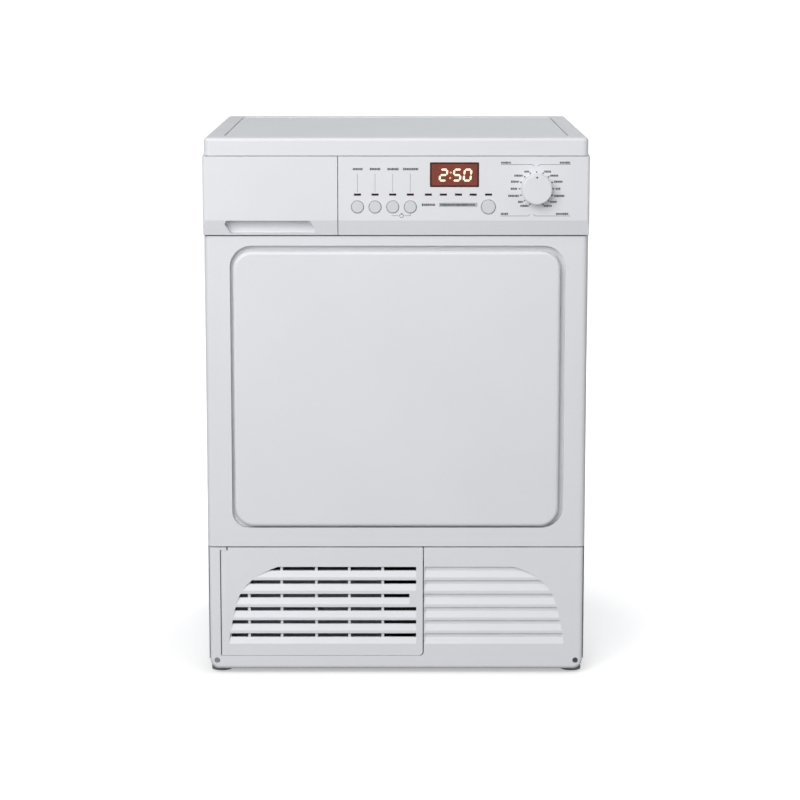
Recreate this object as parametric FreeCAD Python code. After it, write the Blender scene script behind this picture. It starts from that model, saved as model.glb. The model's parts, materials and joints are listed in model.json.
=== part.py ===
import FreeCAD, Part
import math
import os

os.makedirs("parts", exist_ok=True)

# Free-standing condenser tumble dryer. Millimetres, +Z up, front towards -Y, origin on the floor
# below the middle of the machine.

V = FreeCAD.Vector

# ---- cabinet envelope ----
HALF_W = 297.5            # half of the overall width
HEIGHT = 850.0
KNOB_Y = -305.0           # front of the programme dial, the foremost point
REAR_Y = 305.0            # end of the drain spigot, the rearmost point
FASCIA_Y = -286.0         # face of the fascia and the tank drawer
PANEL_Y = -276.0          # face of the front panel
PLINTH_Y = -275.0         # face of the plinth and the flap
SIDE_FRONT_Y = -262.0
BACK_Y = 262.0            # inner face of the rear panel
SHEET = 1.0               # steel sheet
WALL = 2.5                # plastic mouldings
WORKTOP_Y0 = -286.4       # front of the worktop lip
GAP = 0.3                 # clearance between a moving part and its neighbour
RUNNING = 0.05            # radial clearance of a shaft in its bearing

# ---- levels ----
FEET_TOP_Z = 20.0
PLINTH_Z0 = 8.0
PLINTH_Z1 = 205.5
FRONT_Z0 = 207.5
FRONT_Z1 = 698.0
FASCIA_Z0 = 700.0
BEVEL_Z = 723.0
FASCIA_Z1 = 821.5
WORKTOP_Z0 = 822.5

# ---- section shared by the fascia and the tank drawer's front, as (y, z) outlines ----
BEVEL_DEPTH = 6.0
FACE_CORNER_R = 5.0
FACE_OUTLINE = [(FASCIA_Y, FASCIA_Z1), (FASCIA_Y, BEVEL_Z), (FASCIA_Y + BEVEL_DEPTH, FASCIA_Z0),
                (SIDE_FRONT_Y, FASCIA_Z0), (SIDE_FRONT_Y, FASCIA_Z1)]
FACE_HOLLOW = [(FASCIA_Y + WALL, FASCIA_Z1 - WALL), (FASCIA_Y + WALL, BEVEL_Z),
               (FASCIA_Y + BEVEL_DEPTH + 2, FASCIA_Z0 + WALL), (SIDE_FRONT_Y + 1, FASCIA_Z0 + WALL),
               (SIDE_FRONT_Y + 1, FASCIA_Z1 - WALL)]

# ---- drum ----
DRUM_Z = 452.0
DRUM_R = 262.0
DRUM_Y0 = -200.0
DRUM_Y1 = 248.0
DRUM_BEAD = 3.0
MOUTH_R = 196.0
SHIELD_Y = -211.0          # front face of the shield behind the front panel
SHIELD_HALF_W = 295.0
SHIELD_Z0 = 174.0
SHIELD_Z1 = 815.0
SHAFT_R = 12.0
LIFTER_COUNT = 3

# ---- drive train, all shafts parallel to Y ----
MOTOR_X = 155.0
MOTOR_Z = 112.0
MOTOR_R = 50.0
PULLEY_R = 9.0
IDLER_X = 108.0
IDLER_Z = 126.0
IDLER_R = 16.0
BELT_Y = 85.0
BELT_W = 9.0
BELT_T = 2.0
FAN_CASE_R = 60.0
FAN_R = 52.0
SHAFT_OF_MOTOR_R = 7.0
IDLER_PIN_R = 3.0

# ---- door ----
DOOR_X0 = -253.0
DOOR_X1 = 254.5
DOOR_Z0 = 240.0
DOOR_Z1 = 675.0
DOOR_CORNER_R = 30.0
DOOR_Y = -280.0
DOOR_T = 11.6
RECESS_X0 = -257.5
RECESS_X1 = 262.0
RECESS_Z0 = 237.5
RECESS_Z1 = 683.0
RECESS_CORNER_R = 34.0
HINGE_CORNER_R = 26.0     # tighter corner below the hinge, so that the door's corner swings clear
RECESS_Y = -266.0
PLUG_R = 186.0
PLUG_Y = -246.0
HINGE_R = DOOR_T / 2
HINGE_X = DOOR_X0 + HINGE_R
HINGE_Y = DOOR_Y + HINGE_R
HINGE_LEVELS = (330.0, 585.0)
PIN_R = 3.0

# ---- condensate tank drawer ----
TANK_SPLIT_X = -90.0
TANK_X0 = -288.0
TANK_X1 = -98.0
TANK_Y1 = 160.0
TANK_Z0 = 726.0
TANK_Z1 = 806.0

# ---- lint filter ----
FILTER_HALF_W = 108.0
FILTER_Y0 = -240.0
FILTER_Y1 = -218.0
FILTER_Z0 = 182.0
POCKET_Z0 = 178.0

# ---- condenser ----
COND_X0 = -262.0
COND_X1 = -30.0
COND_Y0 = -232.0
COND_Y1 = 185.0
COND_Z0 = 23.0
COND_Z1 = 158.0
TUNNEL_X0 = -268.0
TUNNEL_X1 = -24.0
TUNNEL_TOP = 166.0
FIN_CHANNELS = 10
FIN_PITCH = 12.2
CHANNEL_H = 5.0
LEVER_X = (-225.0, -67.0)
LEVER_Z = 130.0
LEVER_PIN_R = 4.0

# ---- condenser flap ----
FLAP_X0 = -277.0
FLAP_X1 = 42.0
FLAP_Z0 = 30.4
FLAP_HINGE_R = 4.5
FLAP_PIN_R = 2.5
HINGE_FLAP_X = FLAP_X0 + FLAP_HINGE_R
HINGE_FLAP_Y = PLINTH_Y + FLAP_HINGE_R
LOUVRE_LEVELS = (170.3, 148.7, 126.6, 105.1, 83.9, 62.5)
SLOT_LEFT_ENDS = (-197.0, -232.0, -248.0, -255.0, -259.5, -263.5)
SLOT_RIGHT_ENDS = (31.7, 31.7, 21.0, 31.7, 31.7, 31.7)
SLOT_RIB_X = (-232.5, -181.0, -126.2, -74.1, -21.3)
SLOT_RIB_W = 4.0
SLOT_H = 6.0
LOUVRE_DEPTH = 3.4
LOUVRE_H = 13.0
PLINTH_ROLL_R = 6.0       # rolled lower edge of the plinth
FLAP_GAP = 1.6            # slit between the flap's free edge and the plinth
SILL_Z = FLAP_Z0 - 0.6    # lower edge of the flap's window
FLAP_SEAT_Z = 201.4       # underside of the flap's upper hinge seat

# ---- controls ----
OPTION_X = (-59.3, -32.3, -5.2, 21.9)
BUTTON_Z = 743.9
OPTION_R = 9.0
START_X = 141.8
START_R = 10.5
BUTTON_TRAVEL = 1.5
LED_X = (-59.3, -32.3, -5.2, 21.9, 49.6, 72.6, 95.7, 118.4, 142.0)
LED_Z = 762.9
LED_W = 10.8
LED_H = 3.3
DISPLAY_X = 89.6
DISPLAY_Z = 793.4
DISPLAY_W = 75.4
DISPLAY_H = 38.0
DIAL_X = 215.6
DIAL_Z = 771.8
DIAL_R = 23.1
BOARD_Y = -262.0
DIAL_SHAFT_R = 3.0

# ---- base fittings ----
SPIGOT_X = 150.0
SPIGOT_Z = 38.0
SPIGOT_Y0 = 255.0
GLAND_X = 250.0
GLAND_Z = 96.0
PUMP_X = 45.0
PUMP_Y = 215.0
PUMP_SHAFT_R = 2.0
HOSE_R = 5.0
HOSE_LOW_Z = 38.0
HOSE_TOP_Z = 815.5
FOOT_STEM_R = 5.0
FOOT_PAD_R = 16.0
FOOT_PLACES = ((-279.0, -238.0), (279.0, -238.0), (-279.0, 240.0), (279.0, 240.0))
FOOT_NAMES = ("foot_front_left", "foot_front_right", "foot_rear_left", "foot_rear_right")


# ---------------------------------------------------------------- helpers
def save(name, shape):
    """Write one named node."""
    shape.removeSplitter().exportStep("parts/%s.step" % name)


def box(x0, x1, y0, y1, z0, z1):
    return Part.makeBox(x1 - x0, y1 - y0, z1 - z0, V(x0, y0, z0))


def rod_x(r, y, z, x0, x1):
    return Part.makeCylinder(r, x1 - x0, V(x0, y, z), V(1, 0, 0))


def rod_y(r, x, z, y0, y1):
    return Part.makeCylinder(r, y1 - y0, V(x, y0, z), V(0, 1, 0))


def rod_z(r, x, y, z0, z1):
    return Part.makeCylinder(r, z1 - z0, V(x, y, z0), V(0, 0, 1))


def ring_y(r_out, r_in, x, z, y0, y1):
    return rod_y(r_out, x, z, y0, y1).cut(rod_y(r_in, x, z, y0, y1))


def fuse(shapes):
    return shapes[0].multiFuse(shapes[1:]) if len(shapes) > 1 else shapes[0]


def round_y(x0, x1, z0, z1, r, y0, y1):
    """Plate with rounded corners in XZ, thick along Y."""
    plate = box(x0, x1, y0, y1, z0, z1)
    edges = [e for e in plate.Edges if abs(e.tangentAt(e.FirstParameter).y) > 0.9]
    return plate.makeFillet(r, edges)


def round_z(x0, x1, y0, y1, r, z0, z1):
    """Plate with rounded corners in XY, thick along Z."""
    plate = box(x0, x1, y0, y1, z0, z1)
    return fillet_along(plate, r, lambda e: runs_along(e, "z"))


def prism_x(points, x0, x1):
    """Closed (y, z) outline extruded from x0 to x1."""
    wire = Part.makePolygon([V(x0, y, z) for y, z in points + [points[0]]])
    return Part.Face(wire).extrude(V(x1 - x0, 0, 0))


def prism_y(points, y0, y1):
    """Closed (x, z) outline extruded from y0 to y1."""
    wire = Part.makePolygon([V(x, y0, z) for x, z in points + [points[0]]])
    return Part.Face(wire).extrude(V(0, y1 - y0, 0))


def turned(points, x, z):
    """Closed (radius, y) outline revolved about the Y axis through x, z."""
    wire = Part.makePolygon([V(x + r, y, z) for r, y in points + [points[0]]])
    return Part.Face(wire).revolve(V(x, 0, z), V(0, 1, 0), 360)


def around_y(shape, x, z, count):
    """Copies of a shape spaced evenly about the Y axis through x, z."""
    copies = []
    for i in range(count):
        turn = shape.copy()
        turn.rotate(V(x, 0, z), V(0, 1, 0), 360.0 * i / count)
        copies.append(turn)
    return copies


def fillet_along(shape, r, pick):
    return shape.makeFillet(r, [e for e in shape.Edges if pick(e)])


def runs_along(edge, axis):
    direction = edge.tangentAt(edge.FirstParameter)
    return abs(getattr(direction, axis)) > 0.999


# ---------------------------------------------------------------- cabinet
def side_panel(side):
    """Folded sheet with front and rear flanges and a shallow pressed field."""
    outer = side * HALF_W
    inner = side * (HALF_W - SHEET)
    press = side * (HALF_W - 3.0)
    lip = side * (HALF_W - 22.0)

    def slab(xa, xb, y0, y1, z0, z1):
        return box(min(xa, xb), max(xa, xb), y0, y1, z0, z1)

    def field(xa, xb, inset):
        plate = slab(xa, xb, -200 + inset, 200 - inset, 120 + inset, 740 - inset)
        edges = [e for e in plate.Edges if runs_along(e, "x")]
        return plate.makeFillet(60.0 - inset, edges)

    sheet = slab(outer, inner, SIDE_FRONT_Y, BACK_Y, 22.0, WORKTOP_Z0)
    sheet = sheet.cut(field(outer, inner, 0.0))
    wall = field(outer, press - side * SHEET, 0.0).cut(field(outer, press - side * SHEET, SHEET))
    floor = field(press, press - side * SHEET, 0.0)
    front = slab(inner, lip, SIDE_FRONT_Y, SIDE_FRONT_Y + SHEET, 210.0, FRONT_Z1)
    rear = slab(inner, lip, BACK_Y - SHEET, BACK_Y, 54.0, WORKTOP_Z0)
    return fuse([sheet, wall, floor, front, rear])


def door_recess(grow, y0, y1):
    """Space the door closes into, with a tighter corner below the hinge."""
    x0 = RECESS_X0 - grow
    z0 = RECESS_Z0 - grow
    main = round_y(x0, RECESS_X1 + grow, z0, RECESS_Z1 + grow, RECESS_CORNER_R + grow, y0, y1)
    corner = round_y(x0, RECESS_X0 + 80, z0, RECESS_Z0 + 80, HINGE_CORNER_R + grow, y0, y1)
    return main.fuse(corner)


def front_panel():
    """Pressed door surround with the drum mouth and the hook slot."""
    skin = box(-HALF_W + 1.5, HALF_W - 1.5, PANEL_Y, SIDE_FRONT_Y, FRONT_Z0, FRONT_Z1)
    skin = fillet_along(skin, 8.0, lambda e: runs_along(e, "z") and e.CenterOfMass.y < PANEL_Y + 1)
    inner_x = HALF_W - 2.5
    hollow = box(-inner_x, inner_x, PANEL_Y + SHEET, SIDE_FRONT_Y, FRONT_Z0 + SHEET, FRONT_Z1 - SHEET)
    hollow = fillet_along(hollow, 7.0, lambda e: runs_along(e, "z") and e.CenterOfMass.y < PANEL_Y + 2)
    skin = skin.cut(hollow)
    tray = door_recess(SHEET, PANEL_Y, RECESS_Y + SHEET)
    recess = door_recess(0, PANEL_Y, RECESS_Y)
    mouth = rod_y(MOUTH_R, 0, DRUM_Z, RECESS_Y - 1, RECESS_Y + 5)
    hook_slot = box(228, 244, RECESS_Y - 1, RECESS_Y + 5, 438, 472)
    return skin.fuse(tray).cut(fuse([recess, mouth, hook_slot]))


def base_tray():
    """Moulded floor with the condenser tunnel, motor platform, foot bosses and drain spigot."""
    floor_z = FEET_TOP_Z + 3.0
    rim = box(-296, 296, -258, BACK_Y, floor_z, 52).cut(box(-293, 293, -255, BACK_Y - 3, floor_z, 52))
    platform = box(100, 210, -80, 50, floor_z, 50).cut(box(104, 206, -76, 46, floor_z, 46))
    tunnel = box(TUNNEL_X0, TUNNEL_X1, -258, BACK_Y, floor_z, TUNNEL_TOP)
    bore = box(TUNNEL_X0 + 3, TUNNEL_X1 - 3, -240, BACK_Y, floor_z, TUNNEL_TOP - 3)
    front = box(COND_X0, COND_X1, -258, -240, COND_Z0, COND_Z1)
    tunnel = tunnel.cut(bore.fuse(front))
    solids = [box(-296, 296, -258, BACK_Y, FEET_TOP_Z, floor_z), rim, platform, tunnel]
    solids += [rod_z(12, x, y, FEET_TOP_Z, 58) for x, y in FOOT_PLACES]
    solids.append(rod_y(9, SPIGOT_X, SPIGOT_Z, SPIGOT_Y0, REAR_Y))
    cuts = [rod_y(6.5, SPIGOT_X, SPIGOT_Z, SPIGOT_Y0 - 5, REAR_Y)]
    cuts.append(box(TUNNEL_X1 - 4, TUNNEL_X1 + 1, -230, -188, 62, 106))
    cuts.append(box(TUNNEL_X1 - 4, TUNNEL_X1 + 1, 116, 164, 62, 106))
    cuts += [rod_z(FOOT_STEM_R + RUNNING, x, y, FEET_TOP_Z - 1, 54) for x, y in FOOT_PLACES]
    return fuse(solids).cut(fuse(cuts))


def rear_panel():
    """Rear sheet with the shaft hole, hot air windows, condenser window, vents and the cable hole."""
    sheet = box(-296, 296, BACK_Y, BACK_Y + SHEET, 52, WORKTOP_Z0)
    cuts = [rod_y(15, 0, DRUM_Z, BACK_Y - 1, BACK_Y + 2)]
    cuts += around_y(rod_y(28, 0, DRUM_Z + 150, BACK_Y - 1, BACK_Y + 2), 0, DRUM_Z, 12)
    cuts.append(box(-212, -44, BACK_Y - 1, BACK_Y + 2, 68, 150))
    cuts.append(rod_y(9, GLAND_X, GLAND_Z, BACK_Y - 1, BACK_Y + 2))
    for i in range(8):
        z = 80 + 9 * i
        cuts.append(round_y(70, 200, z, z + 4, 1.9, BACK_Y - 1, BACK_Y + 2))
    for i in range(6):
        z = 740 + 10 * i
        cuts.append(round_y(120, 250, z, z + 4, 1.9, BACK_Y - 1, BACK_Y + 2))
    return sheet.cut(fuse(cuts))


def duct_outline(grow, y0, y1):
    """Round drum cover with the riser from the condenser on its left."""
    disc = rod_y(225 + grow, 0, DRUM_Z, y0, y1)
    leg = box(-222 - grow, -34 + grow, y0, y1, 58 - grow, DRUM_Z)
    return disc.fuse(leg).removeSplitter()


def rear_duct_cover():
    body = duct_outline(0, BACK_Y + SHEET, 300)
    body = fillet_along(body, 10.0, lambda e: e.CenterOfMass.y > 299)
    hollow = duct_outline(-SHEET, BACK_Y + SHEET, 299)
    hollow = fillet_along(hollow, 9.0, lambda e: e.CenterOfMass.y > 298)
    flange = duct_outline(12, BACK_Y + SHEET, BACK_Y + 2 * SHEET)
    return body.fuse(flange).cut(hollow)


def worktop_frame():
    rim = box(-295, 295, WORKTOP_Y0, 300, WORKTOP_Z0, HEIGHT)
    rim = fillet_along(rim, 9.0, lambda e: runs_along(e, "z"))
    rim = fillet_along(rim, 5.0, lambda e: e.CenterOfMass.z > HEIGHT - 0.5)
    well = round_z(-268, 268, -239, 272, 12.0, 836, HEIGHT + 1)
    under = box(-291, 291, WORKTOP_Y0 + 4, 296, WORKTOP_Z0 - 1, 834)
    return rim.cut(well).cut(under)


def worktop_panel():
    panel = round_z(-266.6, 266.6, -237.6, 270.6, 11.0, 836, 848.6)
    return fillet_along(panel, 1.0, lambda e: e.CenterOfMass.z > 848.5)


# ---------------------------------------------------------------- plinth and flap
def louvre_field(side, x_stop):
    """Outline of the louvre area: a swept outer edge, ending at x_stop towards the middle."""
    edge = [(-172.0, 179.0)] + list(zip(SLOT_LEFT_ENDS, LOUVRE_LEVELS)) + [(-265.0, 44.0)]
    curve = Part.BSplineCurve()
    curve.interpolate([V(side * -x, PLINTH_Y - 1, z) for x, z in edge])
    top = V(x_stop, PLINTH_Y - 1, 179.0)
    low = V(x_stop, PLINTH_Y - 1, 44.0)
    start = curve.StartPoint
    end = curve.EndPoint
    sides = [Part.makeLine(end, low), Part.makeLine(low, top), Part.makeLine(top, start)]
    wire = Part.Wire([curve.toShape()] + sides)
    return Part.Face(wire).extrude(V(0, 14, 0))


def louvre_wedges(x0, x1, ends):
    """One sloped groove per level; ends gives where each one stops at its right."""
    wedges = []
    for z, end in zip(LOUVRE_LEVELS, ends):
        deep = PLINTH_Y + LOUVRE_DEPTH
        outline = [(PLINTH_Y - 1, z + 4), (deep, z + 4), (deep, z - 3), (PLINTH_Y, z - LOUVRE_H),
                   (PLINTH_Y - 1, z - LOUVRE_H)]
        wedges.append(prism_x(outline, x0, min(x1, end)))
    return fuse(wedges)


def on_rolled_edge(edge):
    """Bottom edge of the plinth face with its two corner arcs."""
    bounds = edge.BoundBox
    return bounds.YMax < PLINTH_Y + 0.01 and bounds.ZMin < PLINTH_Z0 + 14 and bounds.ZMax < PLINTH_Z0 + 16


def plinth():
    body = box(-295, 295, PLINTH_Y, SIDE_FRONT_Y, PLINTH_Z0, PLINTH_Z1)
    body = fillet_along(body, 15.0, lambda e: runs_along(e, "y") and e.CenterOfMass.z < PLINTH_Z0 + 1)
    body = fillet_along(body, PLINTH_ROLL_R, on_rolled_edge)
    hollow = box(-292.5, 292.5, PLINTH_Y + 4, SIDE_FRONT_Y + 1, PLINTH_Z0 + WALL, PLINTH_Z1 - WALL)
    hollow = fillet_along(hollow, 12.5, lambda e: runs_along(e, "y") and e.CenterOfMass.z < PLINTH_Z0 + 4)
    body = body.cut(hollow)
    window_x1 = FLAP_X1 + FLAP_GAP
    backing = box(window_x1, 275, PLINTH_Y + WALL, PLINTH_Y + 7, 40, 183)
    window = round_y(FLAP_X0 - 1, window_x1, SILL_Z, PLINTH_Z1 + 30, 6.0, PLINTH_Y - 1, SIDE_FRONT_Y)
    corner = box(FLAP_X0 - 1, -266, PLINTH_Y - 1, SIDE_FRONT_Y, SILL_Z, FLAP_Z0 + 8)
    window = window.fuse(corner)
    grooves = louvre_wedges(FLAP_X1 + 3, 290, (290,) * 6).common(louvre_field(1, FLAP_X1 + 3))
    notch = box(FLAP_X1, FLAP_X1 + 12, PLINTH_Y - 1, PLINTH_Y + 5, 122.6, 130.6)
    holes = [rod_y(4.5, x, 22.4, PLINTH_Y - 1, PLINTH_Y + 4) for x in (-284, 284)]
    body = body.fuse(backing).cut(fuse([window, grooves, notch] + holes))
    seats = [box(FLAP_X0 - 1, -266, PLINTH_Y, PLINTH_Y + 10, 18, SILL_Z)]
    seats.append(rod_z(FLAP_HINGE_R, HINGE_FLAP_X, HINGE_FLAP_Y, FLAP_SEAT_Z, PLINTH_Z1))
    seats.append(box(-280, HINGE_FLAP_X, HINGE_FLAP_Y - 2, HINGE_FLAP_Y + 2, FLAP_SEAT_Z, PLINTH_Z1))
    seats.append(box(-280, -267.5, PLINTH_Y, PLINTH_Y + 1.6, FLAP_SEAT_Z, PLINTH_Z1))
    socket = rod_z(FLAP_PIN_R + RUNNING, HINGE_FLAP_X, HINGE_FLAP_Y, 22, PLINTH_Z1 + 1)
    return fuse([body] + seats).cut(socket)


def condenser_flap():
    """Slotted access flap hinged on vertical pins at its left edge."""
    plate = round_y(HINGE_FLAP_X - 10, FLAP_X1, FLAP_Z0, PLINTH_Z1 + 20, 6.0, PLINTH_Y, PLINTH_Y + WALL)
    plate = plate.common(box(HINGE_FLAP_X, FLAP_X1, PLINTH_Y, PLINTH_Y + WALL, FLAP_Z0, PLINTH_Z1))
    rim = box(-264, 39, PLINTH_Y + WALL, PLINTH_Y + 10, 34, 202).cut(
        box(-261, 36, PLINTH_Y + WALL, PLINTH_Y + 10, 37, 199))
    backing = box(-264, 38, PLINTH_Y + WALL, PLINTH_Y + 7, 40, 183)
    knuckle = rod_z(FLAP_HINGE_R, HINGE_FLAP_X, HINGE_FLAP_Y, FLAP_Z0, 201)
    pin = rod_z(FLAP_PIN_R, HINGE_FLAP_X, HINGE_FLAP_Y, 24.4, 204.8)
    body = fuse([plate, rim, backing, knuckle])
    body = body.cut(box(-280, -265.5, PLINTH_Y - 1, PLINTH_Y + 12, 201, PLINTH_Z1 + 1))
    field = louvre_field(-1, 40)
    grooves = louvre_wedges(-270, 40, SLOT_RIGHT_ENDS).common(field)
    slots = []
    bars = [-270.0] + list(SLOT_RIB_X) + [60.0]
    for z, end in zip(LOUVRE_LEVELS, SLOT_RIGHT_ENDS):
        for left, right in zip(bars[:-1], bars[1:]):
            x1 = min(right - SLOT_RIB_W / 2, end)
            x0 = left + SLOT_RIB_W / 2
            slots.append(box(x0, x1, PLINTH_Y, PLINTH_Y + 8, z - SLOT_H / 2, z + SLOT_H / 2))
    return body.cut(grooves).cut(fuse(slots).common(field)).fuse(pin)


# ---------------------------------------------------------------- controls and tank
def front_corner(edge, side):
    """Upright front edge at the outer end of the control row; side is -1 for left, 1 for right."""
    centre = edge.CenterOfMass
    return runs_along(edge, "z") and side * centre.x > HALF_W - 7.5 and centre.y < FASCIA_Y + 6


def control_fascia():
    body = prism_x(FACE_OUTLINE, TANK_SPLIT_X + 0.9, HALF_W)
    body = fillet_along(body, FACE_CORNER_R, lambda e: front_corner(e, 1))
    hollow = prism_x(FACE_HOLLOW, TANK_SPLIT_X + 0.5 + WALL, HALF_W - WALL)
    front = FASCIA_Y - 1
    behind = FASCIA_Y + 5
    cuts = [hollow, rod_y(DIAL_SHAFT_R + 1, DIAL_X, DIAL_Z, front, behind)]
    cuts += [rod_y(OPTION_R + GAP, x, BUTTON_Z, front, behind) for x in OPTION_X]
    cuts.append(rod_y(START_R + GAP, START_X, BUTTON_Z, front, behind))
    cuts += [led_bar(x, front, behind) for x in LED_X]
    cuts.append(display_plate(front, behind))
    return body.cut(fuse(cuts))


def led_bar(x, y0, y1):
    return box(x - LED_W / 2, x + LED_W / 2, y0, y1, LED_Z - LED_H / 2, LED_Z + LED_H / 2)


def display_plate(y0, y1):
    return round_y(DISPLAY_X - DISPLAY_W / 2, DISPLAY_X + DISPLAY_W / 2, DISPLAY_Z - DISPLAY_H / 2,
                   DISPLAY_Z + DISPLAY_H / 2, 1.5, y0, y1)


def control_board():
    """Circuit board with a switch behind each button and the selector behind the dial."""
    solids = [box(-72, 286, BOARD_Y, BOARD_Y + 1.6, 712, 814)]
    for x in OPTION_X + (START_X,):
        solids.append(box(x - 6, x + 6, BOARD_Y - 8, BOARD_Y, BUTTON_Z - 6, BUTTON_Z + 6))
    solids.append(box(DIAL_X - 13, DIAL_X + 13, BOARD_Y - 14, BOARD_Y, DIAL_Z - 13, DIAL_Z + 13))
    display_x = (DISPLAY_X - 34, DISPLAY_X + 34)
    solids.append(box(*display_x, BOARD_Y - 12, BOARD_Y, DISPLAY_Z - 16, DISPLAY_Z + 16))
    solids.append(box(-60, -20, BOARD_Y + 1.6, BOARD_Y + 20, 760, 800))
    solids.append(rod_y(12, 20, 780, BOARD_Y + 1.6, BOARD_Y + 30))
    return fuse(solids).cut(rod_y(DIAL_SHAFT_R + RUNNING, DIAL_X, DIAL_Z, BOARD_Y - 15, BOARD_Y + 2))


def push_button(x, r):
    cap = rod_y(r, x, BUTTON_Z, FASCIA_Y - 2.2, BOARD_Y - 8 - BUTTON_TRAVEL - 0.5)
    cap = fillet_along(cap, 1.0, lambda e: e.CenterOfMass.y < FASCIA_Y - 2)
    return cap.fuse(rod_y(r + 1.6, x, BUTTON_Z, FASCIA_Y + WALL + 0.4, FASCIA_Y + WALL + 1.9))


def programme_dial():
    knob = rod_y(DIAL_R, DIAL_X, DIAL_Z, KNOB_Y, FASCIA_Y - 0.6)
    knob = fillet_along(knob, 2.0, lambda e: e.CenterOfMass.y < KNOB_Y + 1)
    dimple = rod_y(2.0, DIAL_X, DIAL_Z + 18, KNOB_Y - 1, KNOB_Y + 0.6)
    shaft = rod_y(DIAL_SHAFT_R, DIAL_X, DIAL_Z, FASCIA_Y - 1, BOARD_Y - 0.5)
    return knob.cut(dimple).fuse(shaft)


def tank_front():
    """Drawer front with the slanted finger pull in its lower bevel."""
    x1 = TANK_SPLIT_X - 0.2
    body = prism_x(FACE_OUTLINE, -HALF_W, x1)
    body = fillet_along(body, FACE_CORNER_R, lambda e: front_corner(e, -1))
    body = body.cut(prism_x(FACE_HOLLOW, -HALF_W + WALL, x1 - WALL))
    pull = [(-255.8, 702.5), (-121.7, 702.5), (-132.8, 722.5), (-267.6, 722.5)]
    pocket = prism_y(pull, FASCIA_Y - 2, -266)
    pocket = fillet_along(pocket, 5.0, lambda e: runs_along(e, "y"))
    block = box(-274, -116, FASCIA_Y + 12, SIDE_FRONT_Y, FASCIA_Z0 + 1, 727)
    block = block.fuse(box(-274, -116, FASCIA_Y + 1, FASCIA_Y + 12, 722.5, 727))
    back = box(-HALF_W + 1, x1 - 1, SIDE_FRONT_Y - 2, SIDE_FRONT_Y, FASCIA_Z0 + 1, FASCIA_Z1 - 1)
    return body.fuse(block).fuse(back).cut(pocket)


def tank_body():
    shell = box(TANK_X0, TANK_X1, SIDE_FRONT_Y, TANK_Y1, TANK_Z0, TANK_Z1)
    shell = fillet_along(shell, 3.0, lambda e: runs_along(e, "y") and e.CenterOfMass.z < TANK_Z0 + 1)
    hollow = box(TANK_X0 + 2, TANK_X1 - 2, SIDE_FRONT_Y + 2, TANK_Y1 - 2, TANK_Z0 + 2, TANK_Z1 + 1)
    hollow = fillet_along(hollow, 1.0, lambda e: runs_along(e, "y") and e.CenterOfMass.z < TANK_Z0 + 3)
    return shell.cut(hollow)


def tank_lid():
    """Lid with the filling hole at the rear, the pouring hole in front and a raised rim round each."""
    lid = box(TANK_X0, TANK_X1, SIDE_FRONT_Y, TANK_Y1, TANK_Z1, TANK_Z1 + 2)
    spouts = ((14, -190, 125), (11, -262, -230))
    bosses = [rod_z(r + 3.5, x, y, TANK_Z1, TANK_Z1 + 3) for r, x, y in spouts]
    holes = [rod_z(r, x, y, TANK_Z1 - 1, TANK_Z1 + 4) for r, x, y in spouts]
    return lid.fuse(fuse(bosses)).cut(fuse(holes))


def tank_cradle():
    floor = box(-293, -93, -205, 200, 718.5, 721)
    walls = [box(-293, -291, -205, 200, 721, 790), box(-95, -93, -205, 200, 721, 790)]
    walls.append(box(-293, -93, 198, 200, 721, 790))
    runners = [box(x, x + 10, -205, 180, 721, TANK_Z0 - GAP) for x in (-275, -121)]
    return fuse([floor] + walls + runners)


# ---------------------------------------------------------------- door
def door_outer():
    """Rounded outer shell, open at the back, with two hinge notches in its left edge."""
    back = DOOR_Y + DOOR_T
    shell = round_y(DOOR_X0, DOOR_X1, DOOR_Z0, DOOR_Z1, DOOR_CORNER_R, DOOR_Y, back)
    shell = fillet_along(shell, HINGE_R - 0.1, lambda e: e.CenterOfMass.y < DOOR_Y + 0.01 or (
        e.CenterOfMass.y > back - 0.01 and e.CenterOfMass.x < DOOR_X0 + 0.01))
    hollow = round_y(DOOR_X0 + 18, DOOR_X1 - 3, DOOR_Z0 + 3, DOOR_Z1 - 3, 15.0, DOOR_Y + 3, back + 1)
    cuts = [hollow]
    for z in HINGE_LEVELS:
        cuts.append(rod_z(PIN_R + RUNNING, HINGE_X, HINGE_Y, z - 33, z + 33))
        cuts.append(rod_z(4.8, HINGE_X, HINGE_Y, z - 18.5, z + 18.5))
        points = [V(HINGE_X, HINGE_Y, z - 18.5)]
        for degrees in range(70, 216, 29):
            turn = math.radians(degrees)
            points.append(V(HINGE_X + 12 * math.cos(turn), HINGE_Y + 12 * math.sin(turn), z - 18.5))
        wedge = Part.Face(Part.makePolygon(points + [points[0]]))
        cuts.append(wedge.extrude(V(0, 0, 37)))
    return shell.cut(fuse(cuts))


def door_inner():
    """Back moulding of the door with the round plug that reaches into the mouth."""
    back = DOOR_Y + DOOR_T
    plate = round_y(DOOR_X0 + 18, DOOR_X1 - 3, DOOR_Z0 + 3, DOOR_Z1 - 3, 15.0, back - 2, back)
    plug = rod_y(PLUG_R, 0, DRUM_Z, back - 2, PLUG_Y)
    plug = fillet_along(plug, 8.0, lambda e: e.CenterOfMass.y > PLUG_Y - 0.1 and abs(e.CenterOfMass.x) < 1)
    hollow = rod_y(PLUG_R - WALL, 0, DRUM_Z, back - 3, PLUG_Y - WALL)
    return plate.fuse(plug).cut(hollow)


def door_hook():
    """Steel hook on the closing side of the door."""
    back = DOOR_Y + DOOR_T
    stem = box(232, 236, back, back + 20, 448, 462)
    nose = box(232, 239, back + 15, back + 20, 448, 462)
    foot = box(222, 242, back, back + 1.2, 440, 470)
    return fuse([stem, nose, foot])


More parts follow.
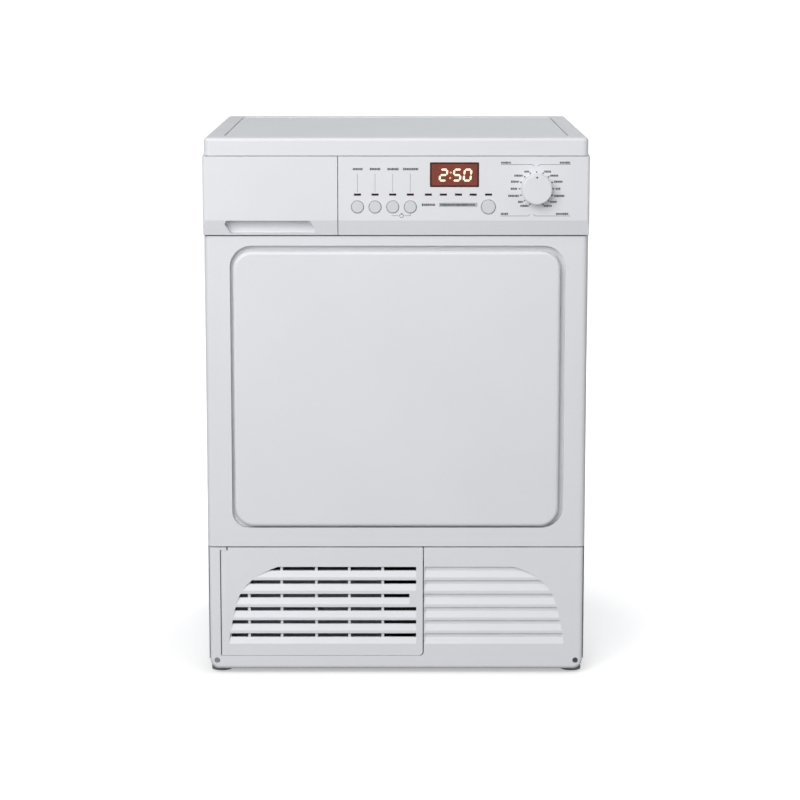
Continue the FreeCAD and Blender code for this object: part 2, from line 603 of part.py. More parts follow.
def door_hinge():
    """Two fixed hinge arms, each with a knuckle and a steel pin standing out both ways."""
    solids = []
    for z in HINGE_LEVELS:
        solids.append(rod_z(4.5, HINGE_X, HINGE_Y, z - 18, z + 18))
        solids.append(rod_z(PIN_R, HINGE_X, HINGE_Y, z - 32, z + 32))
        solids.append(box(HINGE_X - 1.5, HINGE_X + 1.5, HINGE_Y, RECESS_Y, z - 18, z + 18))
        solids.append(box(HINGE_X - 3, HINGE_X + 16, RECESS_Y - 1, RECESS_Y, z - 20, z + 20))
    arms = [solids[i].multiFuse(solids[i + 1:i + 4]) for i in range(0, len(solids), 4)]
    return Part.makeCompound(arms)


def door_catch():
    """Latch case behind the hook slot."""
    case = box(222, 250, RECESS_Y + SHEET, -234, 432, 478)
    return case.cut(box(225.5, 246.5, RECESS_Y, -238, 435.5, 474.5))


# ---------------------------------------------------------------- drum
def drum_shell():
    beads = []
    for y in (-156.0, 160.0):
        crest = DRUM_R + DRUM_BEAD
        beads += [(DRUM_R, y - 8), (crest, y - 4), (crest, y + 4), (DRUM_R, y + 8)]
    outer = [(228, DRUM_Y0), (DRUM_R, DRUM_Y0)] + beads + [(DRUM_R, DRUM_Y1)]
    inner = [(r - SHEET, y) for r, y in reversed(beads)]
    lip = [(DRUM_R - SHEET, DRUM_Y0 + SHEET), (228, DRUM_Y0 + SHEET)]
    inner = [(DRUM_R - SHEET, DRUM_Y1)] + inner + lip
    return turned(outer + inner, 0, DRUM_Z)


def drum_rear_wall():
    """Perforated rear wall with its pressed hub and the stub shaft."""
    wall = rod_y(DRUM_R - SHEET, 0, DRUM_Z, 240, 241)
    rim = ring_y(DRUM_R - SHEET, DRUM_R - 2 * SHEET, 0, DRUM_Z, 240, DRUM_Y1)
    hub = turned([(0, 241), (0, 236), (40, 236), (62, 241)], 0, DRUM_Z)
    holes = []
    for radius, count in ((95, 18), (120, 24), (145, 30), (170, 36), (195, 42)):
        holes += around_y(rod_y(4, 0, DRUM_Z + radius, 239, 242), 0, DRUM_Z, count)
    wall = wall.cut(Part.makeCompound(holes))
    return fuse([wall, rim, hub, rod_y(SHAFT_R, 0, DRUM_Z, 240, 278)])


def drum_lifters():
    """Hollow rounded baffles screwed along the inside of the drum."""
    foot_z = DRUM_Z - DRUM_R - 6
    half = [(42, 0), (26, 42), (10, 66)]
    half_core = [(38, 0), (22, 40), (8, 62)]
    outline = [(x, foot_z + z) for x, z in half] + [(-x, foot_z + z) for x, z in reversed(half)]
    core = [(x, foot_z + z) for x, z in half_core] + [(-x, foot_z + z) for x, z in reversed(half_core)]
    lifter = prism_y(outline, -192, 236)
    lifter = fillet_along(lifter, 6.0, lambda e: runs_along(e, "y") and e.CenterOfMass.z > foot_z + 20)
    lifter = lifter.cut(prism_y(core, -189, 233))
    lifter = lifter.common(rod_y(DRUM_R - SHEET, 0, DRUM_Z, DRUM_Y0, DRUM_Y1))
    lifter.rotate(V(0, 0, DRUM_Z), V(0, 1, 0), 30)
    return Part.makeCompound(around_y(lifter, 0, DRUM_Z, LIFTER_COUNT))


def front_bulkhead():
    """Front shield sheet with a stiffening top rail, the drum mouth and the window for the tank."""
    plate = box(-SHIELD_HALF_W, SHIELD_HALF_W, SHIELD_Y, SHIELD_Y + SHEET, SHIELD_Z0, SHIELD_Z1)
    window_x = (-SHIELD_HALF_W - 1, TANK_X1 + 7)
    tank_window = box(*window_x, SHIELD_Y - 1, SHIELD_Y + 2, TANK_Z0 - 10, TANK_Z1 + 6)
    top_rail = box(-SHIELD_HALF_W, SHIELD_HALF_W, SHIELD_Y, SHIELD_Y + 24, SHIELD_Z1, SHIELD_Z1 + 5)
    mouth = rod_y(MOUTH_R + 3, 0, DRUM_Z, SHIELD_Y - 1, SHIELD_Y + 3)
    filter_gap = box(-FILTER_HALF_W - 1, FILTER_HALF_W + 1, SHIELD_Y - 1, SHIELD_Y + 3, 255, 300)
    return plate.cut(tank_window).cut(fuse([mouth, filter_gap])).fuse(top_rail)


def door_funnel():
    """Moulded mouth ring with the open-ended pocket of the lint filter hanging under it."""
    front = RECESS_Y + SHEET
    ring = rod_y(MOUTH_R + 3, 0, DRUM_Z, front, SHIELD_Y)
    pocket = box(-FILTER_HALF_W - 4, FILTER_HALF_W + 4, FILTER_Y0 - 4, SHIELD_Y, POCKET_Z0, 300)
    bore = rod_y(MOUTH_R, 0, DRUM_Z, front - 1, SHIELD_Y + 1)
    well = box(-FILTER_HALF_W - 1, FILTER_HALF_W + 1, FILTER_Y0 - 1, FILTER_Y1 + 1, POCKET_Z0 - 1, 310)
    return ring.fuse(pocket).cut(fuse([bore, well]))


def lint_filter_frame():
    """Cassette with a concave top that completes the mouth, open window faces and a grip bar."""
    body = box(-FILTER_HALF_W, FILTER_HALF_W, FILTER_Y0, FILTER_Y1, FILTER_Z0, 300)
    body = body.cut(rod_y(MOUTH_R + 0.6, 0, DRUM_Z, -260, -200))
    hollow = box(-FILTER_HALF_W + 4, FILTER_HALF_W - 4, FILTER_Y0 + 3, FILTER_Y1 - 3, FILTER_Z0 + 4, 310)
    windows = filter_windows(FILTER_Y0 - 1, FILTER_Y1 + 1)
    grip = box(-30, 30, FILTER_Y0 + 8, FILTER_Y1 - 8, FILTER_Z0, 251)
    posts = box(-2, 2, FILTER_Y0, FILTER_Y1, FILTER_Z0, 251)
    grip = grip.cut(box(-24, 24, FILTER_Y0, FILTER_Y1, FILTER_Z0 + 4, 245))
    return body.cut(hollow).cut(windows).fuse(grip).fuse(posts)


def filter_windows(y0, y1):
    return fuse([box(a, b, y0, y1, FILTER_Z0 + 4, 240) for a, b in ((-104, -4), (4, 104))])


# ---------------------------------------------------------------- drive train
def tangent_points(a, b, grow):
    """Outer tangent of two circles (x, z, r), both enlarged, on the right-hand side going from a to b."""
    dx = b[0] - a[0]
    dz = b[1] - a[1]
    span = math.hypot(dx, dz)
    lean = math.atan2(dz, dx) - math.acos((a[2] - b[2]) / span)
    normal = (math.cos(lean), math.sin(lean))
    start = V(a[0] + (a[2] + grow) * normal[0], 0, a[1] + (a[2] + grow) * normal[1])
    end = V(b[0] + (b[2] + grow) * normal[0], 0, b[1] + (b[2] + grow) * normal[1])
    return start, end


def belt_loop(circles, grow):
    """Face bounded by straight runs and arcs round circles listed counter-clockwise."""
    count = len(circles)
    runs = [tangent_points(circles[i], circles[(i + 1) % count], grow) for i in range(count)]
    edges = []
    for i, (x, z, r) in enumerate(circles):
        arrive = runs[i - 1][1]
        leave = runs[i][0]
        first = math.atan2(arrive.z - z, arrive.x - x)
        last = math.atan2(leave.z - z, leave.x - x)
        if last < first:
            last += 2 * math.pi
        middle = (first + last) / 2
        top = V(x + (r + grow) * math.cos(middle), 0, z + (r + grow) * math.sin(middle))
        edges.append(Part.Arc(arrive, top, leave).toShape())
        edges.append(Part.makeLine(*runs[i]))
    return Part.Face(Part.Wire(edges))


def drive_belt():
    """Endless belt round the drum, the idler and the motor pulley."""
    circles = [(0.0, DRUM_Z, DRUM_R), (IDLER_X, IDLER_Z, IDLER_R), (MOTOR_X, MOTOR_Z, PULLEY_R)]
    loop = belt_loop(circles, GAP + BELT_T).cut(belt_loop(circles, GAP))
    belt = loop.extrude(V(0, BELT_W, 0))
    belt.translate(V(0, BELT_Y - BELT_W / 2, 0))
    return belt


def motor_body():
    """Stator can between two end bells, on two feet, with its run capacitor."""
    solids = [rod_y(MOTOR_R, MOTOR_X, MOTOR_Z, -70, 40)]
    solids.append(rod_y(MOTOR_R - 5, MOTOR_X, MOTOR_Z, -84, 54))
    solids.append(box(MOTOR_X - 42, MOTOR_X + 42, -60, -45, 50, MOTOR_Z))
    solids.append(box(MOTOR_X - 42, MOTOR_X + 42, 15, 30, 50, MOTOR_Z))
    solids.append(rod_y(17, MOTOR_X + 68, MOTOR_Z - 20, -60, 20))
    solids.append(box(MOTOR_X + 30, MOTOR_X + 60, -40, -20, MOTOR_Z - 30, MOTOR_Z - 10))
    bore = rod_y(SHAFT_OF_MOTOR_R + RUNNING, MOTOR_X, MOTOR_Z, -90, 60)
    vent = round_y(MOTOR_X - 3, MOTOR_X + 3, MOTOR_Z + 26, MOTOR_Z + 38, 2.5, -85, -76)
    vents = around_y(vent, MOTOR_X, MOTOR_Z, 10)
    return fuse(solids).cut(fuse([bore] + vents))


def idler_arm():
    """Sprung arm on the motor's rear bell with the idler's pin."""
    pivot = (128.0, 140.0)
    solids = [rod_y(6, pivot[0], pivot[1], 54, 66)]
    run = [(pivot[0] + 4, pivot[1] - 6), (pivot[0] - 4, pivot[1] + 6),
           (IDLER_X - 4, IDLER_Z + 6), (IDLER_X + 4, IDLER_Z - 6)]
    solids.append(prism_y(run, 63, 66))
    solids.append(rod_y(8, pivot[0], pivot[1], 63, 66))
    solids.append(rod_y(8, IDLER_X, IDLER_Z, 63, 66))
    solids.append(rod_y(IDLER_PIN_R, IDLER_X, IDLER_Z, 66, 94))
    return fuse(solids)


def idler_pulley():
    wheel = turned([(8, 78), (IDLER_R + 3, 78), (IDLER_R + 3, 79.5), (IDLER_R, 79.5), (IDLER_R, 90.5),
                    (IDLER_R + 3, 90.5), (IDLER_R + 3, 92), (8, 92)], IDLER_X, IDLER_Z)
    hub = ring_y(8, IDLER_PIN_R + RUNNING, IDLER_X, IDLER_Z, 77, 93)
    return wheel.fuse(hub)


def motor_shaft():
    """Shaft with the belt pulley turned on it between two flanges."""
    groove = turned([(0, 76), (13, 76), (13, 78.5), (PULLEY_R, 80),
                     (PULLEY_R, 90), (13, 91.5), (13, 94), (0, 94)],
                    MOTOR_X, MOTOR_Z)
    return groove.fuse(rod_y(SHAFT_OF_MOTOR_R, MOTOR_X, MOTOR_Z, -230, 166))


def blower_wheel(y_plate, y_open):
    """Drum-shaped fan: back plate, hub, rows of blades and a front ring."""
    low = min(y_plate, y_open)
    high = max(y_plate, y_open)
    sign = 1 if y_open > y_plate else -1
    plate_far = y_plate + 2 * sign
    plate = rod_y(FAN_R, MOTOR_X, MOTOR_Z, min(y_plate, plate_far), max(y_plate, plate_far))
    hub_far = y_plate + 18 * sign
    hub = rod_y(13, MOTOR_X, MOTOR_Z, min(y_plate, hub_far), max(y_plate, hub_far))
    ring_near = y_open - 2 * sign
    ring = ring_y(FAN_R, FAN_R - 10, MOTOR_X, MOTOR_Z, min(ring_near, y_open), max(ring_near, y_open))
    blade = box(MOTOR_X - 1, MOTOR_X + 1, low, high, MOTOR_Z + FAN_R - 11, MOTOR_Z + FAN_R - 0.4)
    blade.rotate(V(MOTOR_X, 0, MOTOR_Z + FAN_R - 5), V(0, 1, 0), 30)
    blades = around_y(blade, MOTOR_X, MOTOR_Z, 24)
    bore = rod_y(SHAFT_OF_MOTOR_R, MOTOR_X, MOTOR_Z, low - 1, high + 1)
    return fuse([plate, hub, ring] + blades).cut(bore)


def fan_housing(y0, y1, inlet_y, neck):
    """Round case with a duct towards the condenser tunnel, an inlet and a shaft hole."""
    inlet = box(TUNNEL_X1, MOTOR_X, y0 + 4, y1 - 4, 58, 110)
    case = rod_y(FAN_CASE_R, MOTOR_X, MOTOR_Z, y0, y1).fuse(inlet)
    hollow = rod_y(FAN_CASE_R - WALL, MOTOR_X, MOTOR_Z, y0 + WALL, y1 - WALL)
    hollow = hollow.fuse(box(TUNNEL_X1 - 1, MOTOR_X, y0 + 4 + WALL, y1 - 4 - WALL, 58 + WALL, 110 - WALL))
    shaft_hole = rod_y(SHAFT_OF_MOTOR_R + 2, MOTOR_X, MOTOR_Z, y0 - 1, y1 + 1)
    inlet = rod_y(34, MOTOR_X, MOTOR_Z, inlet_y - 4, inlet_y + 4)
    if neck:
        case = case.fuse(box(64, 112, FILTER_Y0, FILTER_Y1, 140, POCKET_Z0))
        hollow = hollow.fuse(box(66.5, 109.5, FILTER_Y0 + WALL, FILTER_Y1 - WALL, 139, POCKET_Z0 + 1))
        return case.cut(hollow.fuse(shaft_hole))
    return case.cut(hollow.fuse(shaft_hole).fuse(inlet))


# ---------------------------------------------------------------- condenser, heater, water
def condenser_body():
    """Rectangular frame with the front handle plate, open sides and two lever sockets."""
    frame = box(COND_X0, COND_X1, COND_Y0 + 6, COND_Y1, COND_Z0, COND_Z1)
    frame = frame.cut(box(COND_X0 + 4, COND_X1 - 4, COND_Y0, COND_Y1 + 1, COND_Z0 + 4, COND_Z1 - 4))
    for i in range(4):
        y = COND_Y0 + 16 + 101 * i
        frame = frame.cut(box(COND_X0 - 1, COND_X1 + 1, y, y + 91, COND_Z0 + 14, COND_Z1 - 14))
    front = box(COND_X0, COND_X1, COND_Y0, COND_Y0 + 6, COND_Z0, COND_Z1)
    inset = round_y(COND_X0 + 75, COND_X1 - 75, COND_Z0 + 45, COND_Z1 - 45, 8.0, COND_Y0 - 1, COND_Y0 + 4)
    grip = round_y(COND_X0 + 85, COND_X1 - 85, 84, 96, 4.0, COND_Y0 - 4, COND_Y0 + 5)
    sockets = [rod_y(LEVER_PIN_R + RUNNING, x, LEVER_Z, COND_Y0 - 1, COND_Y0 + 7) for x in LEVER_X]
    return frame.fuse(front.cut(inset)).fuse(grip).cut(fuse(sockets))


def condenser_fins():
    """Aluminium exchanger: flat hollow air channels joined by upright fins."""
    x0 = COND_X0 + 5
    x1 = COND_X1 - 5
    y0 = COND_Y0 + 8
    y1 = COND_Y1 - 2
    channels = []
    bores = []
    for i in range(FIN_CHANNELS):
        z = COND_Z0 + 10 + FIN_PITCH * i
        channels.append(box(x0, x1, y0, y1, z, z + CHANNEL_H))
        bores.append(box(x0 + 0.6, x1 - 0.6, y0 - 1, y1 + 1, z + 0.6, z + CHANNEL_H - 0.6))
    top = COND_Z0 + 10 + FIN_PITCH * (FIN_CHANNELS - 1) + CHANNEL_H
    fin_ys = [y0 + 6 + 22.8 * i for i in range(18)]
    fins = [box(x0 + 2, x1 - 2, y, y + 0.5, COND_Z0 + 10, top) for y in fin_ys]
    return fuse(channels + fins).cut(Part.makeCompound(bores))


def condenser_lever(x):
    """Quarter-turn lock: pin through the front plate, arm behind the tunnel's upper lip, finger tab."""
    y0 = COND_Y0 - 7
    arm = box(x - 6, x + 6, y0, COND_Y0 - 0.5, LEVER_Z, LEVER_Z + 31)
    boss = rod_y(9, x, LEVER_Z, y0, COND_Y0 - 0.5)
    tab = box(x - 2.5, x + 2.5, y0 - 10, y0, LEVER_Z - 6, LEVER_Z + 20)
    pin = rod_y(LEVER_PIN_R, x, LEVER_Z, COND_Y0 - 1, COND_Y0 + 8)
    return fuse([arm, boss, tab, pin])


def heater():
    """Open sheet frame with two rows of coiled element rods."""
    frame = box(-208, -44, 266, 294, 200, 320).cut(box(-206, -46, 260, 300, 202, 318))
    rods = [rod_x(3.0, y, z, -207, -45) for y in (273, 287) for z in range(212, 312, 16)]
    return fuse([frame] + rods)


def pump_body():
    """Pump chamber on the base floor with its small motor on top and an outlet stub."""
    floor_z = FEET_TOP_Z + 3
    chamber = rod_z(26, PUMP_X, PUMP_Y, floor_z, 52)
    hollow = rod_z(22, PUMP_X, PUMP_Y, floor_z + 3, 49)
    inlet = box(PUMP_X - 30, PUMP_X, PUMP_Y - 6, PUMP_Y + 6, floor_z + 3, floor_z + 12)
    case = box(PUMP_X - 16, PUMP_X + 16, PUMP_Y - 16, PUMP_Y + 16, 52, 88)
    stub = rod_x(HOSE_R + 2, PUMP_Y, HOSE_LOW_Z, PUMP_X + 20, PUMP_X + 40)
    channel = rod_x(HOSE_R - 2, PUMP_Y, HOSE_LOW_Z, PUMP_X + 10, PUMP_X + 41)
    bearing = rod_z(PUMP_SHAFT_R + RUNNING, PUMP_X, PUMP_Y, 45, 70)
    seat = rod_x(HOSE_R, PUMP_Y, HOSE_LOW_Z, PUMP_X + 30, PUMP_X + 41)
    return fuse([chamber, case, stub]).cut(fuse([hollow, inlet, channel, bearing, seat]))


def pump_impeller():
    floor_z = FEET_TOP_Z + 7
    plate = rod_z(18, PUMP_X, PUMP_Y, floor_z, floor_z + 2)
    solids = [plate, rod_z(5, PUMP_X, PUMP_Y, floor_z, 46), rod_z(PUMP_SHAFT_R, PUMP_X, PUMP_Y, 46, 66)]
    for i in range(5):
        vane = box(PUMP_X, PUMP_X + 17, PUMP_Y - 0.8, PUMP_Y + 0.8, floor_z, 44)
        vane.rotate(V(PUMP_X, PUMP_Y, 0), V(0, 0, 1), 72 * i)
        solids.append(vane)
    return fuse(solids)


def condensate_hose():
    """Hose from the pump up the rear corner and across to the tank's filling hole."""
    corners = [V(PUMP_X + 30, PUMP_Y, HOSE_LOW_Z), V(284, PUMP_Y, HOSE_LOW_Z),
               V(284, PUMP_Y, HOSE_TOP_Z), V(-190, PUMP_Y, HOSE_TOP_Z),
               V(-190, 128, HOSE_TOP_Z)]
    path = rounded_path(corners, 22.0)
    outer = pipe_along(path, HOSE_R, corners)
    inner = pipe_along(path, HOSE_R - 1.5, corners)
    return outer.cut(inner)


def rounded_path(corners, radius):
    """Straight runs joined by tangent arcs."""
    edges = []
    start = corners[0]
    for before, corner, after in zip(corners[:-2], corners[1:-1], corners[2:]):
        inward = (before - corner).normalize()
        outward = (after - corner).normalize()
        enter = corner + inward * radius
        leave = corner + outward * radius
        centre = enter + outward * radius
        middle = centre - (inward + outward).normalize() * radius
        edges.append(Part.makeLine(start, enter))
        edges.append(Part.Arc(enter, middle, leave).toShape())
        start = leave
    edges.append(Part.makeLine(start, corners[-1]))
    return Part.Wire(edges)


def pipe_along(path, r, corners):
    circle = Part.makeCircle(r, corners[0], (corners[1] - corners[0]).normalize())
    return path.makePipeShell([Part.Wire(circle)], True, False)


def cable_gland():
    """Flanged bush for the mains cable."""
    bush = ring_y(9, 4, GLAND_X, GLAND_Z, BACK_Y - 12, BACK_Y + 14)
    flange = ring_y(13, 9, GLAND_X, GLAND_Z, BACK_Y + SHEET, BACK_Y + SHEET + 3)
    return bush.fuse(flange)


def foot(x, y):
    pad = rod_z(FOOT_PAD_R, x, y, 0, 7)
    pad = fillet_along(pad, 2.0, lambda e: e.CenterOfMass.z > 6.9)
    turns = [i * math.pi / 3 for i in range(7)]
    nut = Part.Face(Part.makePolygon([V(x + 9 * math.cos(a), y + 9 * math.sin(a), 7)
                                      for a in turns])).extrude(V(0, 0, 4))
    return fuse([pad, nut, rod_z(FOOT_STEM_R, x, y, 7, 50)])


def display_window():
    return display_plate(FASCIA_Y - 0.3, FASCIA_Y + 2)


def led_lenses():
    return Part.makeCompound([led_bar(x, FASCIA_Y - 0.3, FASCIA_Y + 2) for x in LED_X])


# ---------------------------------------------------------------- write every node
NODES = {
    "base_tray": base_tray(),
    "side_panel_left": side_panel(-1),
    "side_panel_right": side_panel(1),
    "rear_panel": rear_panel(),
    "rear_duct_cover": rear_duct_cover(),
    "front_panel": front_panel(),
    "worktop_frame": worktop_frame(),
    "worktop_panel": worktop_panel(),
    "control_fascia": control_fascia(),
    "display_window": display_window(),
    "led_lenses": led_lenses(),
    "control_board": control_board(),
    "plinth": plinth(),
    "front_bulkhead": front_bulkhead(),
    "door_funnel": door_funnel(),
    "drum_front_seal": ring_y(256, 232, 0, DRUM_Z, -210, DRUM_Y0 - GAP),
    "drum_bearing": ring_y(28, SHAFT_R + RUNNING, 0, DRUM_Z, 251, BACK_Y).fuse(
        ring_y(46, SHAFT_R + RUNNING, 0, DRUM_Z, 259, BACK_Y)),
    "heater": heater(),
    "motor_body": motor_body(),
    "idler_arm": idler_arm(),
    "drive_belt": drive_belt(),
    "condenser_body": condenser_body(),
    "condenser_fins": condenser_fins(),
    "process_fan_housing": fan_housing(-238, -180, -238, True),
    "cooling_fan_housing": fan_housing(108, 172, 172, False),
    "pump_body": pump_body(),
    "condensate_hose": condensate_hose(),
    "tank_cradle": tank_cradle(),
    "door_hinge": door_hinge(),
    "door_catch": door_catch(),
    "door_seal": ring_y(212, 200, 0, DRUM_Z, RECESS_Y - 1.9, RECESS_Y),
    "cable_gland": cable_gland(),
    "drum_shell": drum_shell(),
    "drum_lifters": drum_lifters(),
    "drum_rear_wall": drum_rear_wall(),
    "motor_shaft": motor_shaft(),
    "process_fan": blower_wheel(-188, -230),
    "cooling_fan": blower_wheel(116, 162),
    "idler_pulley": idler_pulley(),
    "tank_front": tank_front(),
    "tank_body": tank_body(),
    "tank_lid": tank_lid(),
    "door_outer": door_outer(),
    "door_inner": door_inner(),
    "door_hook": door_hook(),
    "condenser_flap": condenser_flap(),
    "condenser_lever_left": condenser_lever(LEVER_X[0]),
    "condenser_lever_right": condenser_lever(LEVER_X[1]),
    "programme_dial": programme_dial(),
    "start_button": push_button(START_X, START_R),
    "lint_filter_frame": lint_filter_frame(),
    "pump_impeller": pump_impeller(),
}
for number, place in enumerate(OPTION_X, 1):
    NODES["option_button_%d" % number] = push_button(place, OPTION_R)
for label, place in zip(FOOT_NAMES, FOOT_PLACES):
    NODES[label] = foot(*place)

for node, solid in NODES.items():
    save(node, solid)
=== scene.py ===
import bpy
import json
import math
import random
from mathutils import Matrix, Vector


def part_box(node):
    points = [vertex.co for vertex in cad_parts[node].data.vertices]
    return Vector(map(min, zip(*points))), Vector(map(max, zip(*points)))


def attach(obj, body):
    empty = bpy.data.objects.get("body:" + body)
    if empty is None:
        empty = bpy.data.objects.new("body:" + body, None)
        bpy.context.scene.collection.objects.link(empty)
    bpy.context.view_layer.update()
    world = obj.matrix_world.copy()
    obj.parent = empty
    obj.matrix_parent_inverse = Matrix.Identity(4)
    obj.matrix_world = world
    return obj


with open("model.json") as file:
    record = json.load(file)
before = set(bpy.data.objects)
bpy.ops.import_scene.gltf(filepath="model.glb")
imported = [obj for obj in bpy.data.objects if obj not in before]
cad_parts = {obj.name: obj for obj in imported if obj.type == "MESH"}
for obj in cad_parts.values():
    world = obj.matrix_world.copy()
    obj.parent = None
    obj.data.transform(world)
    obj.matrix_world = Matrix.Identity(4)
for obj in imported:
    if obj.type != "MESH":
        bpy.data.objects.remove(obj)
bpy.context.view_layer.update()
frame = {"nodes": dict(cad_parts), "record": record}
SLOT_OF = {part["node"]: part["material_slot"] for part in frame["record"]["subparts"]}
MM = 0.001                # the added pieces are worked out in millimetres
random.seed(7)


def map_range(tree, source, low, high, dark, bright):
    """Map source from low..high onto the two values."""
    made = tree.nodes.new("ShaderNodeMapRange")
    for key, value in zip(("From Min", "From Max", "To Min", "To Max"), (low, high, dark, bright)):
        made.inputs[key].default_value = value
    tree.links.new(source, made.inputs["Value"])
    return made.outputs["Result"]


# ---------------------------------------------------------------- materials
# A Mix node has float, vector and colour sockets of the same names, so the colour ones go by number.
MIX_FACTOR = 0
MIX_COLOR_A = 6
MIX_COLOR_B = 7
MIX_COLOR_OUT = 2


class Shader:
    """A Principled material with object-space procedural detail."""

    def __init__(self, name, color, rough, metal=0.0):
        self.material = bpy.data.materials.new(name)
        self.material.use_nodes = True
        self.tree = self.material.node_tree
        self.nodes = self.tree.nodes
        self.links = self.tree.links
        self.bsdf = self.nodes["Principled BSDF"]
        self.bsdf.inputs["Metallic"].default_value = metal
        self.coords = self.nodes.new("ShaderNodeTexCoord").outputs["Object"]
        self.color = color
        self.rough = rough

    def node(self, kind, **inputs):
        """New node of that kind, with the named inputs set."""
        made = self.nodes.new("ShaderNode" + kind)
        for key, value in inputs.items():
            made.inputs[key].default_value = value
        return made

    def stretched(self, x, y, z):
        """Object coordinates scaled along each axis."""
        mapping = self.nodes.new("ShaderNodeMapping")
        mapping.inputs["Scale"].default_value = (x, y, z)
        self.links.new(self.coords, mapping.inputs["Vector"])
        return mapping.outputs["Vector"]

    def noise(self, scale, detail=3.0, rough=0.5, vector=None):
        made = self.node("TexNoise", Scale=scale, Detail=detail, Roughness=rough)
        self.links.new(vector or self.coords, made.inputs["Vector"])
        return made.outputs["Fac"]

    def ramp(self, source, low, high, dark, bright):
        return map_range(self.tree, source, low, high, dark, bright)

    def tint(self, factor, color_a, color_b):
        """Blend of two colours by factor."""
        made = self.nodes.new("ShaderNodeMix")
        made.data_type = "RGBA"
        made.inputs[MIX_COLOR_A].default_value = (*color_a, 1)
        made.inputs[MIX_COLOR_B].default_value = (*color_b, 1)
        self.links.new(factor, made.inputs[MIX_FACTOR])
        return made.outputs[MIX_COLOR_OUT]

    def paint(self, output):
        self.links.new(output, self.bsdf.inputs["Base Color"])

    def gloss(self, output):
        self.links.new(output, self.bsdf.inputs["Roughness"])

    def bump(self, source, strength, distance):
        """Surface relief from source."""
        made = self.node("Bump", Strength=strength, Distance=distance)
        self.links.new(source, made.inputs["Height"])
        self.links.new(made.outputs["Normal"], self.bsdf.inputs["Normal"])

    def finish(self, tone, patch, spread):
        """Large soft tone changes and uneven gloss over the whole surface."""
        cloudy = self.noise(patch, 4.0)
        shade = tuple(c * (1 - tone) for c in self.color)
        self.paint(self.tint(self.ramp(cloudy, 0.35, 0.65, 0.0, 1.0), shade, self.color))
        smudge = self.noise(patch * 3.1, 5.0, 0.6)
        self.gloss(self.ramp(smudge, 0.3, 0.7, self.rough - spread, self.rough + spread))
        return self


def enamel(name, color):
    """Baked paint on steel: faint orange peel under a thin clear coat."""
    made = Shader(name, color, 0.34).finish(0.015, 3.0, 0.05)
    made.bump(made.noise(700.0, 2.0), 0.05, 0.0004)
    made.bsdf.inputs["Coat Weight"].default_value = 0.15
    made.bsdf.inputs["Coat Roughness"].default_value = 0.15
    return made.material


def moulded(name, color, rough, grain=1600.0, depth=0.06, spread=0.06):
    """Injection-moulded plastic with a fine grain."""
    made = Shader(name, color, rough).finish(0.02, 5.0, spread)
    made.bump(made.noise(grain, 2.0), depth, 0.0003)
    return made.material


def ink_and_shade(name, color):
    """Screen print on the fascia; the same matt finish also carries the painted shade round the buttons."""
    return moulded(name, color, 0.5, 900.0, 0.01)


def brushed(name, color, rough, stretch):
    """Metal with fine lines across the axis of the largest stretch."""
    made = Shader(name, color, rough, 1.0).finish(0.05, 8.0, 0.04)
    lines = made.noise(1.0, 4.0, 0.7, made.stretched(*stretch))
    made.bump(lines, 0.05, 0.0002)
    return made.material


def zinc(name, color):
    """Galvanised sheet with its spangle."""
    made = Shader(name, color, 0.42, 0.6)
    cells = made.node("TexVoronoi", Scale=90.0)
    made.links.new(made.coords, cells.inputs["Vector"])
    spangle = made.ramp(cells.outputs["Color"], 0.0, 1.0, 0.0, 1.0)
    made.paint(made.tint(spangle, tuple(c * 0.8 for c in color), color))
    made.gloss(made.ramp(spangle, 0.0, 1.0, 0.34, 0.52))
    made.bump(made.noise(500.0, 2.0), 0.05, 0.0003)
    return made.material


def rubber(name, color):
    """Matt elastomer, slightly uneven."""
    made = Shader(name, color, 0.62).finish(0.2, 20.0, 0.08)
    made.bump(made.noise(900.0, 3.0), 0.25, 0.0004)
    return made.material


def felt(name, color):
    """Pressed wool with loose fibres."""
    made = Shader(name, color, 0.92).finish(0.25, 60.0, 0.04)
    made.bump(made.noise(1400.0, 5.0, 0.8), 0.8, 0.001)
    made.bsdf.inputs["Sheen Weight"].default_value = 0.4
    return made.material


def glowing(name, color, glow, strength):
    """Lit face of the display."""
    made = Shader(name, color, 0.25).finish(0.15, 60.0, 0.04)
    made.bsdf.inputs["Emission Color"].default_value = (*glow, 1)
    made.bsdf.inputs["Emission Strength"].default_value = strength
    return made.material


